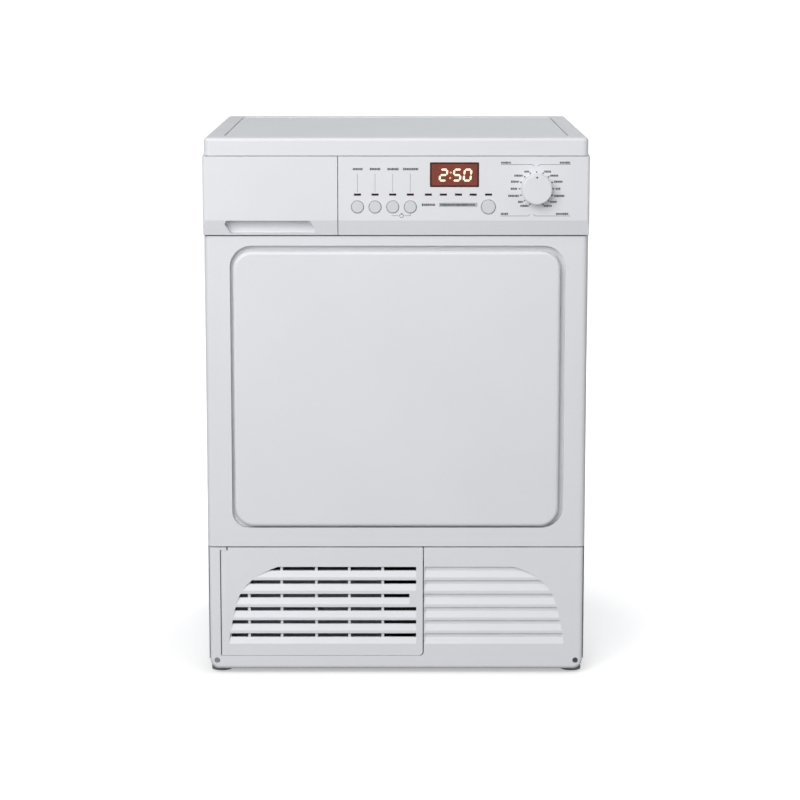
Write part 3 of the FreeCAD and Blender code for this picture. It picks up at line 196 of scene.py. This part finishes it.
MATERIALS = {
    "enamel_white": enamel("enamel_white", (0.815, 0.825, 0.845)),
    "plastic_white": moulded("plastic_white", (0.825, 0.83, 0.855), 0.36),
    "worktop_board": moulded("worktop_board", (0.80, 0.825, 0.845), 0.42, 900.0, 0.01, 0.0),
    "tank_plastic": moulded("tank_plastic", (0.70, 0.73, 0.76), 0.32),
    "display_amber": moulded("display_amber", (0.055, 0.018, 0.012), 0.18, 300.0, 0.01),
    "led_smoke": moulded("led_smoke", (0.045, 0.016, 0.014), 0.25, 300.0, 0.01),
    "circuit_board": moulded("circuit_board", (0.03, 0.16, 0.07), 0.45),
    "galvanised": zinc("galvanised", (0.62, 0.64, 0.66)),
    "stainless": brushed("stainless", (0.66, 0.66, 0.67), 0.36, (20.0, 900.0, 20.0)),
    "base_grey": moulded("base_grey", (0.17, 0.18, 0.19), 0.5),
    "black_plastic": moulded("black_plastic", (0.022, 0.022, 0.025), 0.45),
    "fin_aluminium": brushed("fin_aluminium", (0.70, 0.71, 0.72), 0.35, (40.0, 40.0, 900.0)),
    "rubber_dark": rubber("rubber_dark", (0.022, 0.022, 0.024)),
    "rubber_grey": rubber("rubber_grey", (0.20, 0.205, 0.21)),
    "felt": felt("felt", (0.55, 0.52, 0.47)),
    "element_steel": brushed("element_steel", (0.30, 0.27, 0.24), 0.45, (600.0, 60.0, 60.0)),
    "motor_steel": moulded("motor_steel", (0.05, 0.055, 0.06), 0.40),
    "lever_plastic": moulded("lever_plastic", (0.22, 0.25, 0.29), 0.40),
}
PRINT_DARK = ink_and_shade("print_dark", (0.10, 0.10, 0.11))
# grey of the painted shade rings in the gaps round the buttons, and the left plinth screw's own grey
RING_SHADE_AND_SCREW_GREY = ink_and_shade("ring_shade_and_screw_grey", (0.34, 0.35, 0.37))
PRINT_PALE = ink_and_shade("print_pale", (0.50, 0.51, 0.53))
DISPLAY_FIELD = glowing("display_field", (0.20, 0.045, 0.03), (0.9, 0.14, 0.06), 0.06)
DIGIT_GLOW = glowing("digit_glow", (0.9, 0.75, 0.6), (1.0, 0.72, 0.45), 1.0)
COLON_GLOW = glowing("colon_glow", (0.8, 0.3, 0.12), (1.0, 0.35, 0.10), 0.8)
BUTTON_WHITE = moulded("button_white", (0.70, 0.71, 0.735), 0.42)
OPTION_BUTTONS = 4
PUSH_BUTTONS = ["option_button_%d" % (i + 1) for i in range(OPTION_BUTTONS)] + ["start_button"]

for name, node in frame["nodes"].items():
    node.data.materials.clear()
    node.data.materials.append(BUTTON_WHITE if name in PUSH_BUTTONS else MATERIALS[SLOT_OF[name]])


# ---------------------------------------------------------------- small printed and added pieces
def add_piece(name, verts, faces, material, body):
    """Mesh piece that rides on a body."""
    mesh = bpy.data.meshes.new(name)
    mesh.from_pydata(verts, [], faces)
    mesh.update()
    piece = bpy.data.objects.new(name, mesh)
    bpy.context.collection.objects.link(piece)
    mesh.materials.append(material)
    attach(piece, body)


PRINT_SINK = 0.1          # share of a print's thickness that sits in the surface under it


def slabs(outlines, front, thick):
    """Solid prisms from (x, z) outlines in millimetres, standing thick in front of y = front."""
    verts = []
    faces = []
    for outline in outlines:
        start = len(verts)
        count = len(outline)
        for y in (front - thick, front + PRINT_SINK * thick):
            verts += [(x * MM, y * MM, z * MM) for x, z in outline]
        faces.append([start + i for i in range(count)])
        faces.append([start + count + i for i in reversed(range(count))])
        for i in range(count):
            j = (i + 1) % count
            faces.append([start + j, start + i, start + count + i, start + count + j])
    return verts, faces


def bar(x, z, width, height):
    """Outline of a rectangle centred on x, z."""
    return [(x - width / 2, z - height / 2), (x + width / 2, z - height / 2),
            (x + width / 2, z + height / 2), (x - width / 2, z + height / 2)]


def disc(x, z, r, count=20):
    """Outline of a round spot."""
    turn = 2 * math.pi / count
    return [(x + r * math.cos(i * turn), z + r * math.sin(i * turn)) for i in range(count)]


def stroke(points, width):
    """Short bars that follow a polyline."""
    made = []
    for (x0, z0), (x1, z1) in zip(points[:-1], points[1:]):
        span = math.hypot(x1 - x0, z1 - z0)
        nx = (z1 - z0) / span * width / 2
        nz = -(x1 - x0) / span * width / 2
        made.append([(x0 - nx, z0 - nz), (x0 + nx, z0 + nz), (x1 + nx, z1 + nz), (x1 - nx, z1 - nz)][::-1])
    return made


FASCIA_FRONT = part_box("control_fascia")[0].y / MM
PRINT_T = 0.12            # thickness of a print
TOP_PRINT_T = 0.06        # of a print on another print
SEGMENTS = {"a": ((0, 2), (1, 2)), "b": ((1, 2), (1, 1)), "c": ((1, 1), (1, 0)), "d": ((0, 0), (1, 0)),
            "e": ((0, 1), (0, 0)), "f": ((0, 2), (0, 1)), "g": ((0, 1), (1, 1))}
DIGITS = {"2": "abged", "5": "afgcd", "0": "abcdef"}
DIGIT_W = 10.3
DIGIT_H = 16.8
DIGIT_LEAN = 0.12
SEGMENT_W = 2.9
SEGMENT_INSET = 0.18      # share of its width that a segment stays short of each corner
# each digit with the x of its lower left corner
DIGIT_PLACES = (("2", 66.5), ("5", 87.5), ("0", 103.5))
DIGIT_DROP = 8.9          # lower edge of the digits under the middle of the window
# x of each dot and its height over the middle of the window
COLON_DOTS = ((83.0, -5.0), (83.8, 3.4))
COLON_R = 1.5
BEZEL = 2.6               # dark border of the display
FIELD_T = 0.08
GLOW_T = 0.10


def printed(name, outlines, material, front=FASCIA_FRONT, thick=PRINT_T, body="cabinet"):
    """Piece made of flat marks on the surface at y = front."""
    verts, faces = slabs(outlines, front, thick)
    add_piece(name, verts, faces, material, body)


def segment(p, q, width):
    """Six-sided display segment with pointed ends."""
    (x0, z0), (x1, z1) = p, q
    span = math.hypot(x1 - x0, z1 - z0)
    ux, uz = (x1 - x0) / span, (z1 - z0) / span
    half = width / 2
    inset = width * SEGMENT_INSET
    a = (x0 + ux * inset, z0 + uz * inset)
    b = (x1 - ux * inset, z1 - uz * inset)
    side = (-uz * half, ux * half)
    shoulder = (ux * half, uz * half)
    return [a, (a[0] + shoulder[0] - side[0], a[1] + shoulder[1] - side[1]),
            (b[0] - shoulder[0] - side[0], b[1] - shoulder[1] - side[1]), b,
            (b[0] - shoulder[0] + side[0], b[1] - shoulder[1] + side[1]),
            (a[0] + shoulder[0] + side[0], a[1] + shoulder[1] + side[1])]


def digit(mark, x, z):
    """Slanted seven-segment digit with its lower left corner at x, z."""
    made = []
    for key in DIGITS[mark]:
        ends = []
        for column, row in SEGMENTS[key]:
            rise = row * DIGIT_H / 2
            ends.append((x + column * DIGIT_W + rise * DIGIT_LEAN, z + rise))
        made.append(segment(*ends, SEGMENT_W))
    return made


def display():
    """Dim field behind the window's border, with a time in digits on it."""
    low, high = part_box("display_window")
    front = low.y / MM
    middle_x = (low.x + high.x) / 2 / MM
    middle_z = (low.z + high.z) / 2 / MM
    field = bar(middle_x, middle_z, (high.x - low.x) / MM - 2 * BEZEL, (high.z - low.z) / MM - 2 * BEZEL)
    printed("display_field", [field], DISPLAY_FIELD, front, FIELD_T)
    digits = []
    for mark, x in DIGIT_PLACES:
        digits += digit(mark, x, middle_z - DIGIT_DROP)
    printed("display_digits", digits, DIGIT_GLOW, front - FIELD_T, GLOW_T)
    dots = [disc(x, middle_z + up, COLON_R) for x, up in COLON_DOTS]
    printed("display_colon", dots, COLON_GLOW, front - FIELD_T, GLOW_T)


DASH_LENGTHS = (1.1, 2.6)
DASH_HEIGHTS = (0.75, 1.0)
DASH_LEAST = 0.8
DASH_GAP = 0.45


def dashes(x, z, width, height):
    """A label bar broken into uneven dashes, centred on x, z."""
    made = []
    reach = x - width / 2
    end = x + width / 2
    while reach < end - DASH_LEAST:
        step = min(random.uniform(*DASH_LENGTHS), end - reach)
        tall = height * random.uniform(*DASH_HEIGHTS)
        made.append(bar(reach + step / 2, z, step, tall))
        reach += step + DASH_GAP
    return made


def ring(x, z, r, width, count=40):
    """Flat ring made of short quads."""
    made = []
    turn = 2 * math.pi / count
    for i in range(count):
        a, b = i * turn, (i + 1) * turn
        made.append([(x + r * math.cos(a), z + r * math.sin(a)),
                     (x + (r + width) * math.cos(a), z + (r + width) * math.sin(a)),
                     (x + (r + width) * math.cos(b), z + (r + width) * math.sin(b)),
                     (x + r * math.cos(b), z + r * math.sin(b))])
    return made


def round_place(node, hidden_flange=0.0):
    """Centre (x, z) of a round control and the radius of the part of it that shows."""
    low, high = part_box(node)
    return (low.x + high.x) / 2 / MM, (low.z + high.z) / 2 / MM, (high.x - low.x) / 2 / MM - hidden_flange


LINE_W = 0.55
LEADER_W = 0.4
RING_GAP = 0.3            # between a button's cap and its ring of painted shade
RING_W = 0.8
LABEL_H = 4.0
SMALL_LABEL_H = 3.5
BUTTON_FLANGE = 1.6       # hidden collar of each button, wider than its cap
LEADER_TOP = 795.0
OPTION_LABEL_Z = 802.0
OPTION_LABEL_WIDTHS = (15.0, 17.0, 17.0, 23.0)
OPTION_LABEL_SHIFT = 0.5
LEADER_GAP = 2.0          # from a lens to the foot of its leader line
STATUS_Z = 747.2
STATUS_LABEL = (50.0, 21.0)         # middle and width, here and below
STATUS_STRIP = (95.5, 59.0)
STATUS_MARKS = (95.0, 54.0)
STATUS_STRIP_H = 6.2
LOCK_DROP = 13.5          # the lock line runs this far below the button centres
LOCK_R = 2.6
LOCK_RING_W = 0.7
LOCK_GAP = 4.5            # from the middle of the mark to each line beside it
LOCK_RUN_PAST = 1.0       # past the left button's middle
LOCK_HOOK = 3.4
LOCK_BOLT = (1.2, 2.2)    # width and height
LOCK_BOLT_UP = 0.3
KNOB_FRAME_TOP = 809.0
KNOB_FRAME_LOW = 730.0
# level lines (from x, to x, z), the short slants at their ends, and labels (x, z, width)
KNOB_FRAME_RUNS = ((161.0, 209.0, KNOB_FRAME_TOP), (221.0, 268.0, KNOB_FRAME_TOP),
                   (161.0, 203.0, KNOB_FRAME_LOW), (214.0, 268.0, KNOB_FRAME_LOW))
KNOB_FRAME_ENDS = (((209.0, KNOB_FRAME_TOP), (212.0, 806.5)), ((221.0, KNOB_FRAME_TOP), (218.0, 806.5)),
                   ((203.0, KNOB_FRAME_LOW), (206.0, 732.5)), ((214.0, KNOB_FRAME_LOW), (211.0, 732.5)))
KNOB_FRAME_LABELS = ((168.5, 811.8, 15.0), (259.5, 811.8, 17.0), (166.5, 733.2, 11.0), (256.0, 733.2, 20.0))


def fascia_prints():
    """Generic marks: leader lines, label dashes, rings of painted shade round the buttons, lock mark and
    corner lines.
    """
    led_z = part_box("led_lenses")[1].z / MM
    places = [round_place(node, BUTTON_FLANGE) for node in PUSH_BUTTONS]
    lines = []
    labels = []
    for place, width in zip(places, OPTION_LABEL_WIDTHS):
        x = place[0]
        lines += stroke([(x, led_z + LEADER_GAP), (x, LEADER_TOP)], LEADER_W)
        labels += dashes(x + OPTION_LABEL_SHIFT, OPTION_LABEL_Z, width, LABEL_H)
    x, width = STATUS_LABEL
    labels += dashes(x, STATUS_Z, width, LABEL_H)
    x, width = STATUS_STRIP
    printed("status_strip", [bar(x, STATUS_Z, width, STATUS_STRIP_H)], PRINT_PALE)
    x, width = STATUS_MARKS
    printed("status_marks", dashes(x, STATUS_Z, width, LABEL_H), PRINT_DARK,
            FASCIA_FRONT - PRINT_T, TOP_PRINT_T)
    # rings of painted shade in the gaps round the buttons
    rings = []
    for x, z, r in places:
        rings += ring(x, z, r + RING_GAP, RING_W)
    printed("button_shade_rings", rings, RING_SHADE_AND_SCREW_GREY)
    lines += lock_mark(places[2], places[3])
    for x0, x1, z in KNOB_FRAME_RUNS:
        lines += stroke([(x0, z), (x1, z)], LINE_W)
    for ends in KNOB_FRAME_ENDS:
        lines += stroke(ends, LINE_W)
    for x, z, width in KNOB_FRAME_LABELS:
        labels += dashes(x, z, width, SMALL_LABEL_H)
    printed("fascia_lines", lines, PRINT_DARK)
    printed("fascia_labels", labels, PRINT_DARK)


def lock_mark(left_button, right_button):
    """Line that joins two buttons from below, with a round lock mark in its middle."""
    left, right = left_button[0], right_button[0]
    middle = (left + right) / 2
    base = left_button[1] - LOCK_DROP
    mark = stroke([(left - LOCK_RUN_PAST, base), (middle - LOCK_GAP, base)], LINE_W)
    mark += stroke([(middle + LOCK_GAP, base), (right, base), (right, base + LOCK_HOOK)], LINE_W)
    mark += ring(middle, base, LOCK_R, LOCK_RING_W, count=20)
    mark.append(bar(middle, base + LOCK_R + LOCK_BOLT_UP, *LOCK_BOLT))
    return mark


PROGRAMMES = 15
PROGRAMME_STEP = 22.5     # degrees
DOT_OUT = 2.6             # distances out from the knob's rim
TICK_FROM = 3.9
TICK_TO = 5.4
LABEL_OUT = 0.9
DOT_R = 1.2
LEAST_ACROSS = 0.3        # positions nearer to the vertical than this have no tick or label
PROGRAMME_LABEL_WIDTHS = (13.0, 7.0, 16.0, 10.0, 12.0)
POINTER_UP = 18.5
POINTER_R = 1.5
POINTER_SINK = 0.6        # depth of the dimple that the mark lies in
POINTER_T = 0.25


def dial_scale():
    """Fifteen programme positions: a dot at the rim, a leader tick and a label of dashes."""
    cx, cz, knob = round_place("programme_dial")
    knob_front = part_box("programme_dial")[0].y / MM
    dots = []
    ticks = []
    labels = []
    for i in range(PROGRAMMES):
        turn = math.radians(90 - PROGRAMME_STEP * (i - PROGRAMMES // 2))
        across, up = math.cos(turn), math.sin(turn)
        dots.append(disc(cx + (knob + DOT_OUT) * across, cz + (knob + DOT_OUT) * up, DOT_R, count=12))
        if abs(across) < LEAST_ACROSS:
            continue
        side = 1 if across > 0 else -1
        inner = (cx + (knob + TICK_FROM) * across, cz + (knob + TICK_FROM) * up)
        elbow = (cx + (knob + TICK_TO) * across, cz + (knob + TICK_TO) * up)
        ticks += stroke([inner, elbow], LINE_W)
        width = PROGRAMME_LABEL_WIDTHS[i % len(PROGRAMME_LABEL_WIDTHS)]
        labels += dashes(elbow[0] + side * (width / 2 + LABEL_OUT), elbow[1], width, SMALL_LABEL_H)
    printed("dial_dots", dots, PRINT_DARK)
    printed("dial_ticks", ticks, PRINT_DARK)
    printed("dial_labels", labels, PRINT_DARK)
    printed("dial_pointer", [disc(cx, cz + POINTER_UP, POINTER_R)], PRINT_DARK,
            knob_front + POINTER_SINK, POINTER_T, "dial")


display()
fascia_prints()
dial_scale()


# ---------------------------------------------------------------- gauze of the lint filter
THREAD_PITCH = 2.4
THREAD_W = 0.5
THREAD_T = 0.28
GAUZE_WINDOWS = (("left", -104.0, -4.0), ("right", 4.0, 104.0))
GAUZE_TOP = 240.0
GAUZE_UP = 4.0            # foot of the windows over the foot of the frame
GAUZE_IN_FRONT = 1.2      # depth of each gauze in the frame, from its nearer face
GAUZE_IN_REAR = 1.8


def gauze_sheet(x0, x1, y, z0, z1):
    """Thin crossing threads that close one window of the filter."""
    verts = []
    faces = []

    def strip(ax0, ax1, az0, az1, front):
        start = len(verts)
        for depth in (front, front + THREAD_T):
            verts.extend([(ax0 * MM, depth * MM, az0 * MM), (ax1 * MM, depth * MM, az0 * MM),
                          (ax1 * MM, depth * MM, az1 * MM), (ax0 * MM, depth * MM, az1 * MM)])
        for face in ((0, 1, 2, 3), (7, 6, 5, 4), (0, 4, 5, 1), (1, 5, 6, 2), (2, 6, 7, 3), (3, 7, 4, 0)):
            faces.append([start + i for i in face])

    for i in range(1, int((x1 - x0) / THREAD_PITCH)):
        strip(x0 + i * THREAD_PITCH, x0 + i * THREAD_PITCH + THREAD_W, z0, z1, y)
    for i in range(1, int((z1 - z0) / THREAD_PITCH)):
        strip(x0, x1, z0 + i * THREAD_PITCH, z0 + i * THREAD_PITCH + THREAD_W, y + THREAD_T)
    return verts, faces


def filter_gauze():
    """Gauze in the two windows of each face of the lint filter."""
    low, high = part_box("lint_filter_frame")
    for side, y in (("front", low.y / MM + GAUZE_IN_FRONT), ("rear", high.y / MM - GAUZE_IN_REAR)):
        for half, x0, x1 in GAUZE_WINDOWS:
            verts, faces = gauze_sheet(x0, x1, y, low.z / MM + GAUZE_UP, GAUZE_TOP)
            add_piece("filter_gauze_%s_%s" % (side, half), verts, faces, MATERIALS["lever_plastic"], "filter")


filter_gauze()


# ---------------------------------------------------------------- screws
SCREW_SIDES = 32
# rings of a head from its seat to the floor of the socket: radius, rise and depth of the cross, as shares
SCREW_RINGS = ((1.0, 0.0, 0.0), (1.0, 0.3, 0.0), (0.78, 0.58, 0.0), (0.36, 0.62, 0.4), (0.32, 0.2, 0.4))


def screws(name, spots, r, material, body, facing):
    """Domed screw heads with a cross socket; spots are (x, y, z) of each seat, facing is -1 or 1 along Y."""
    count = SCREW_SIDES
    verts = []
    faces = []
    for x, y, z in spots:
        start = len(verts)
        for radius, rise, cross in SCREW_RINGS:
            for i in range(count):
                a = 2 * math.pi * i / count
                reach = r * radius * (1 + cross * math.cos(4 * a))
                verts.append(((x + reach * math.cos(a)) * MM, (y + facing * rise * r) * MM,
                              (z + reach * math.sin(a)) * MM))
        for level in range(len(SCREW_RINGS) - 1):
            for i in range(count):
                j = (i + 1) % count
                a = start + level * count
                face = [a + i, a + j, a + count + j, a + count + i]
                faces.append(face if facing < 0 else face[::-1])
        floor = [start + (len(SCREW_RINGS) - 1) * count + i for i in range(count)]
        faces.append(floor if facing < 0 else floor[::-1])
    add_piece(name, verts, faces, material, body)


PLINTH_SCREW_R = 4.2
PLINTH_SCREW_Z = 22.4
PLINTH_SEAT = 4.0         # seat of the plinth's screws behind its front
SCREW_EDGE = 11.0         # distance of the plinth's screws from its ends
REAR_SCREW_R = 4.0
REAR_SCREW_EDGE = 10.0
REAR_SCREW_LEVELS = (70.0, 250.0, 450.0, 640.0, 800.0)
TOP_SCREW_Z = 808.0
TOP_SCREW_PLACES = (-180.0, -60.0, 60.0)
DUCT_SCREW_R = 3.6
DUCT_FLANGE_T = 1.0
DUCT_SCREW_TURNS = (-50, -15, 20, 55, 90, 125, 160)
DUCT_FLANGE_MIDDLE = 6.0
DUCT_LEG_RIGHT_X = -28.0
DUCT_LEFT_LEVELS = (100.0, 240.0, 380.0)
DUCT_RIGHT_LEVELS = (100.0, 180.0)


def plinth_screws():
    """One screw near each end of the plinth, a pale and a dark one."""
    low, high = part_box("plinth")
    seat_y = low.y / MM + PLINTH_SEAT
    left = (low.x / MM + SCREW_EDGE, seat_y, PLINTH_SCREW_Z)
    right = (high.x / MM - SCREW_EDGE, seat_y, PLINTH_SCREW_Z)
    screws("plinth_screw_left", [left], PLINTH_SCREW_R, RING_SHADE_AND_SCREW_GREY, "cabinet", -1)
    screws("plinth_screw_right", [right], PLINTH_SCREW_R, PRINT_DARK, "cabinet", -1)


def rear_screws():
    """Screws round the rear panel and round the flange of the air duct."""
    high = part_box("rear_panel")[1]
    rear_y = high.y / MM
    edge_x = high.x / MM - REAR_SCREW_EDGE
    rim = [(side * edge_x, rear_y, z) for side in (-1, 1) for z in REAR_SCREW_LEVELS]
    rim += [(x, rear_y, TOP_SCREW_Z) for x in TOP_SCREW_PLACES]
    screws("rear_screws", rim, REAR_SCREW_R, MATERIALS["galvanised"], "cabinet", 1)
    seat_y = rear_y + DUCT_FLANGE_T
    cover_low, cover_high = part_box("rear_duct_cover")
    drum_low, drum_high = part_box("drum_shell")
    drum_z = (drum_low.z + drum_high.z) / 2 / MM
    flange_r = cover_high.x / MM - DUCT_FLANGE_MIDDLE
    spots = []
    for degrees in DUCT_SCREW_TURNS:
        turn = math.radians(degrees)
        spots.append((flange_r * math.cos(turn), seat_y, drum_z + flange_r * math.sin(turn)))
    spots += [(cover_low.x / MM + DUCT_FLANGE_MIDDLE, seat_y, z) for z in DUCT_LEFT_LEVELS]
    spots += [(DUCT_LEG_RIGHT_X, seat_y, z) for z in DUCT_RIGHT_LEVELS]
    screws("duct_screws", spots, DUCT_SCREW_R, MATERIALS["galvanised"], "cabinet", 1)


plinth_screws()
rear_screws()


# ---------------------------------------------------------------- studio
def staged(name, verts, faces, material):
    """Studio surface: it is no part of the object and bounces no light onto it."""
    mesh = bpy.data.meshes.new(name)
    mesh.from_pydata(verts, [], faces)
    mesh.materials.append(material)
    made = bpy.data.objects.new(name, mesh)
    bpy.context.collection.objects.link(made)
    made.visible_diffuse = False
    made.visible_glossy = False


def plain(name, color, emission):
    """Matt material that also glows."""
    made = bpy.data.materials.new(name)
    made.use_nodes = True
    bsdf = made.node_tree.nodes["Principled BSDF"]
    bsdf.inputs["Base Color"].default_value = (*color, 1)
    bsdf.inputs["Roughness"].default_value = 0.9
    bsdf.inputs["Specular IOR Level"].default_value = 0.0
    bsdf.inputs["Emission Color"].default_value = (1, 1, 1, 1)
    bsdf.inputs["Emission Strength"].default_value = emission
    return made


FLOOR_R = 11.0
DOME_STEPS = 12
DOME_SIDES = 48
# lower glow near the machine paints shade on the floor round its foot
FLOOR_GLOW_NEAR = 0.40
FLOOR_GLOW_FAR = 0.72
FLOOR_FADE = (0.38, 0.75)           # distances from the middle between which the glow rises
DOME_GLOW = 1.1
DOME_DROP = 0.5           # the dome starts this far under the floor


def floor_material():
    """White floor that glows less close to the machine, a painted shade round its foot, so that its contact
    shadow stays visible.
    """
    made = plain("floor_white", (0.8, 0.8, 0.8), FLOOR_GLOW_FAR)
    tree = made.node_tree
    away = tree.nodes.new("ShaderNodeVectorMath")
    away.operation = "LENGTH"
    tree.links.new(tree.nodes.new("ShaderNodeTexCoord").outputs["Object"], away.inputs[0])
    glow = map_range(tree, away.outputs["Value"], *FLOOR_FADE, FLOOR_GLOW_NEAR, FLOOR_GLOW_FAR)
    tree.links.new(glow, tree.nodes["Principled BSDF"].inputs["Emission Strength"])
    return made


def studio():
    """White floor disc inside a white dome; only the camera sees the dome."""
    turns = [2 * math.pi * i / DOME_SIDES for i in range(DOME_SIDES)]
    rim = [(FLOOR_R * math.cos(turn), FLOOR_R * math.sin(turn), 0.0) for turn in turns]
    staged("studio_floor", rim, [list(range(DOME_SIDES))], floor_material())
    verts = []
    faces = []
    for level in range(DOME_STEPS + 1):
        tilt = 0.5 * math.pi * level / DOME_STEPS
        reach = FLOOR_R * math.cos(tilt)
        height = FLOOR_R * math.sin(tilt) - DOME_DROP
        verts += [(reach * math.cos(turn), reach * math.sin(turn), height) for turn in turns]
    for level in range(DOME_STEPS):
        for i in range(DOME_SIDES):
            j = (i + 1) % DOME_SIDES
            a = level * DOME_SIDES
            faces.append([a + j, a + i, a + DOME_SIDES + i, a + DOME_SIDES + j])
    staged("studio_dome", verts, faces, plain("dome_white", (0, 0, 0), DOME_GLOW))


def area_light(name, place, target, size, power, glossy=True):
    """Round lamp that faces its target."""
    data = bpy.data.lights.new(name, "AREA")
    data.shape = "DISK"
    data.size = size
    data.energy = power
    lamp = bpy.data.objects.new(name, data)
    lamp.location = place
    lamp.visible_glossy = glossy
    lamp.rotation_euler = (Vector(target) - Vector(place)).to_track_quat("-Z", "Y").to_euler()
    bpy.context.collection.objects.link(lamp)


AIR_COLOR = (0.97, 0.98, 1.0)
AIR_RISE = (-0.4, 0.4)              # upward share of a direction between which the air brightens
AIR_STRENGTH = (0.24, 0.50)


def air():
    """Faint even light, about twice as strong from above."""
    world = bpy.data.worlds.new("studio_air")
    world.use_nodes = True
    tree = world.node_tree
    upward = tree.nodes.new("ShaderNodeSeparateXYZ")
    tree.links.new(tree.nodes.new("ShaderNodeTexCoord").outputs["Generated"], upward.inputs["Vector"])
    strength = map_range(tree, upward.outputs["Z"], *AIR_RISE, *AIR_STRENGTH)
    tree.links.new(strength, tree.nodes["Background"].inputs["Strength"])
    tree.nodes["Background"].inputs["Color"].default_value = (*AIR_COLOR, 1)
    bpy.context.scene.world = world


studio()
area_light("key", (-1.05, -2.75, 1.9), (-0.1, -0.2, 0.65), size=2.6, power=64.0)
area_light("fill", (2.6, -2.0, 1.6), (0.0, 0.0, 0.5), size=2.4, power=8.0)
area_light("rear", (0.8, 3.2, 2.0), (0.0, 0.0, 0.5), size=2.0, power=45.0, glossy=False)
air()
bpy.context.scene.view_settings.view_transform = "Standard"

# ---------------------------------------------------------------- camera
SENSOR = 36.0
LENS = 116.5
TILT = math.radians(9.5)            # downward
EYE = (0.006, -4.26, 1.108)


def place_camera():
    """Long lens in front of the machine, a little above its top."""
    data = bpy.data.cameras.new("camera")
    data.sensor_width = SENSOR
    data.lens = LENS
    data.dof.use_dof = False
    camera = bpy.data.objects.new("camera", data)
    camera.location = EYE
    camera.rotation_euler = (math.pi / 2 - TILT, 0.0, 0.0)
    bpy.context.collection.objects.link(camera)
    bpy.context.scene.camera = camera


place_camera()
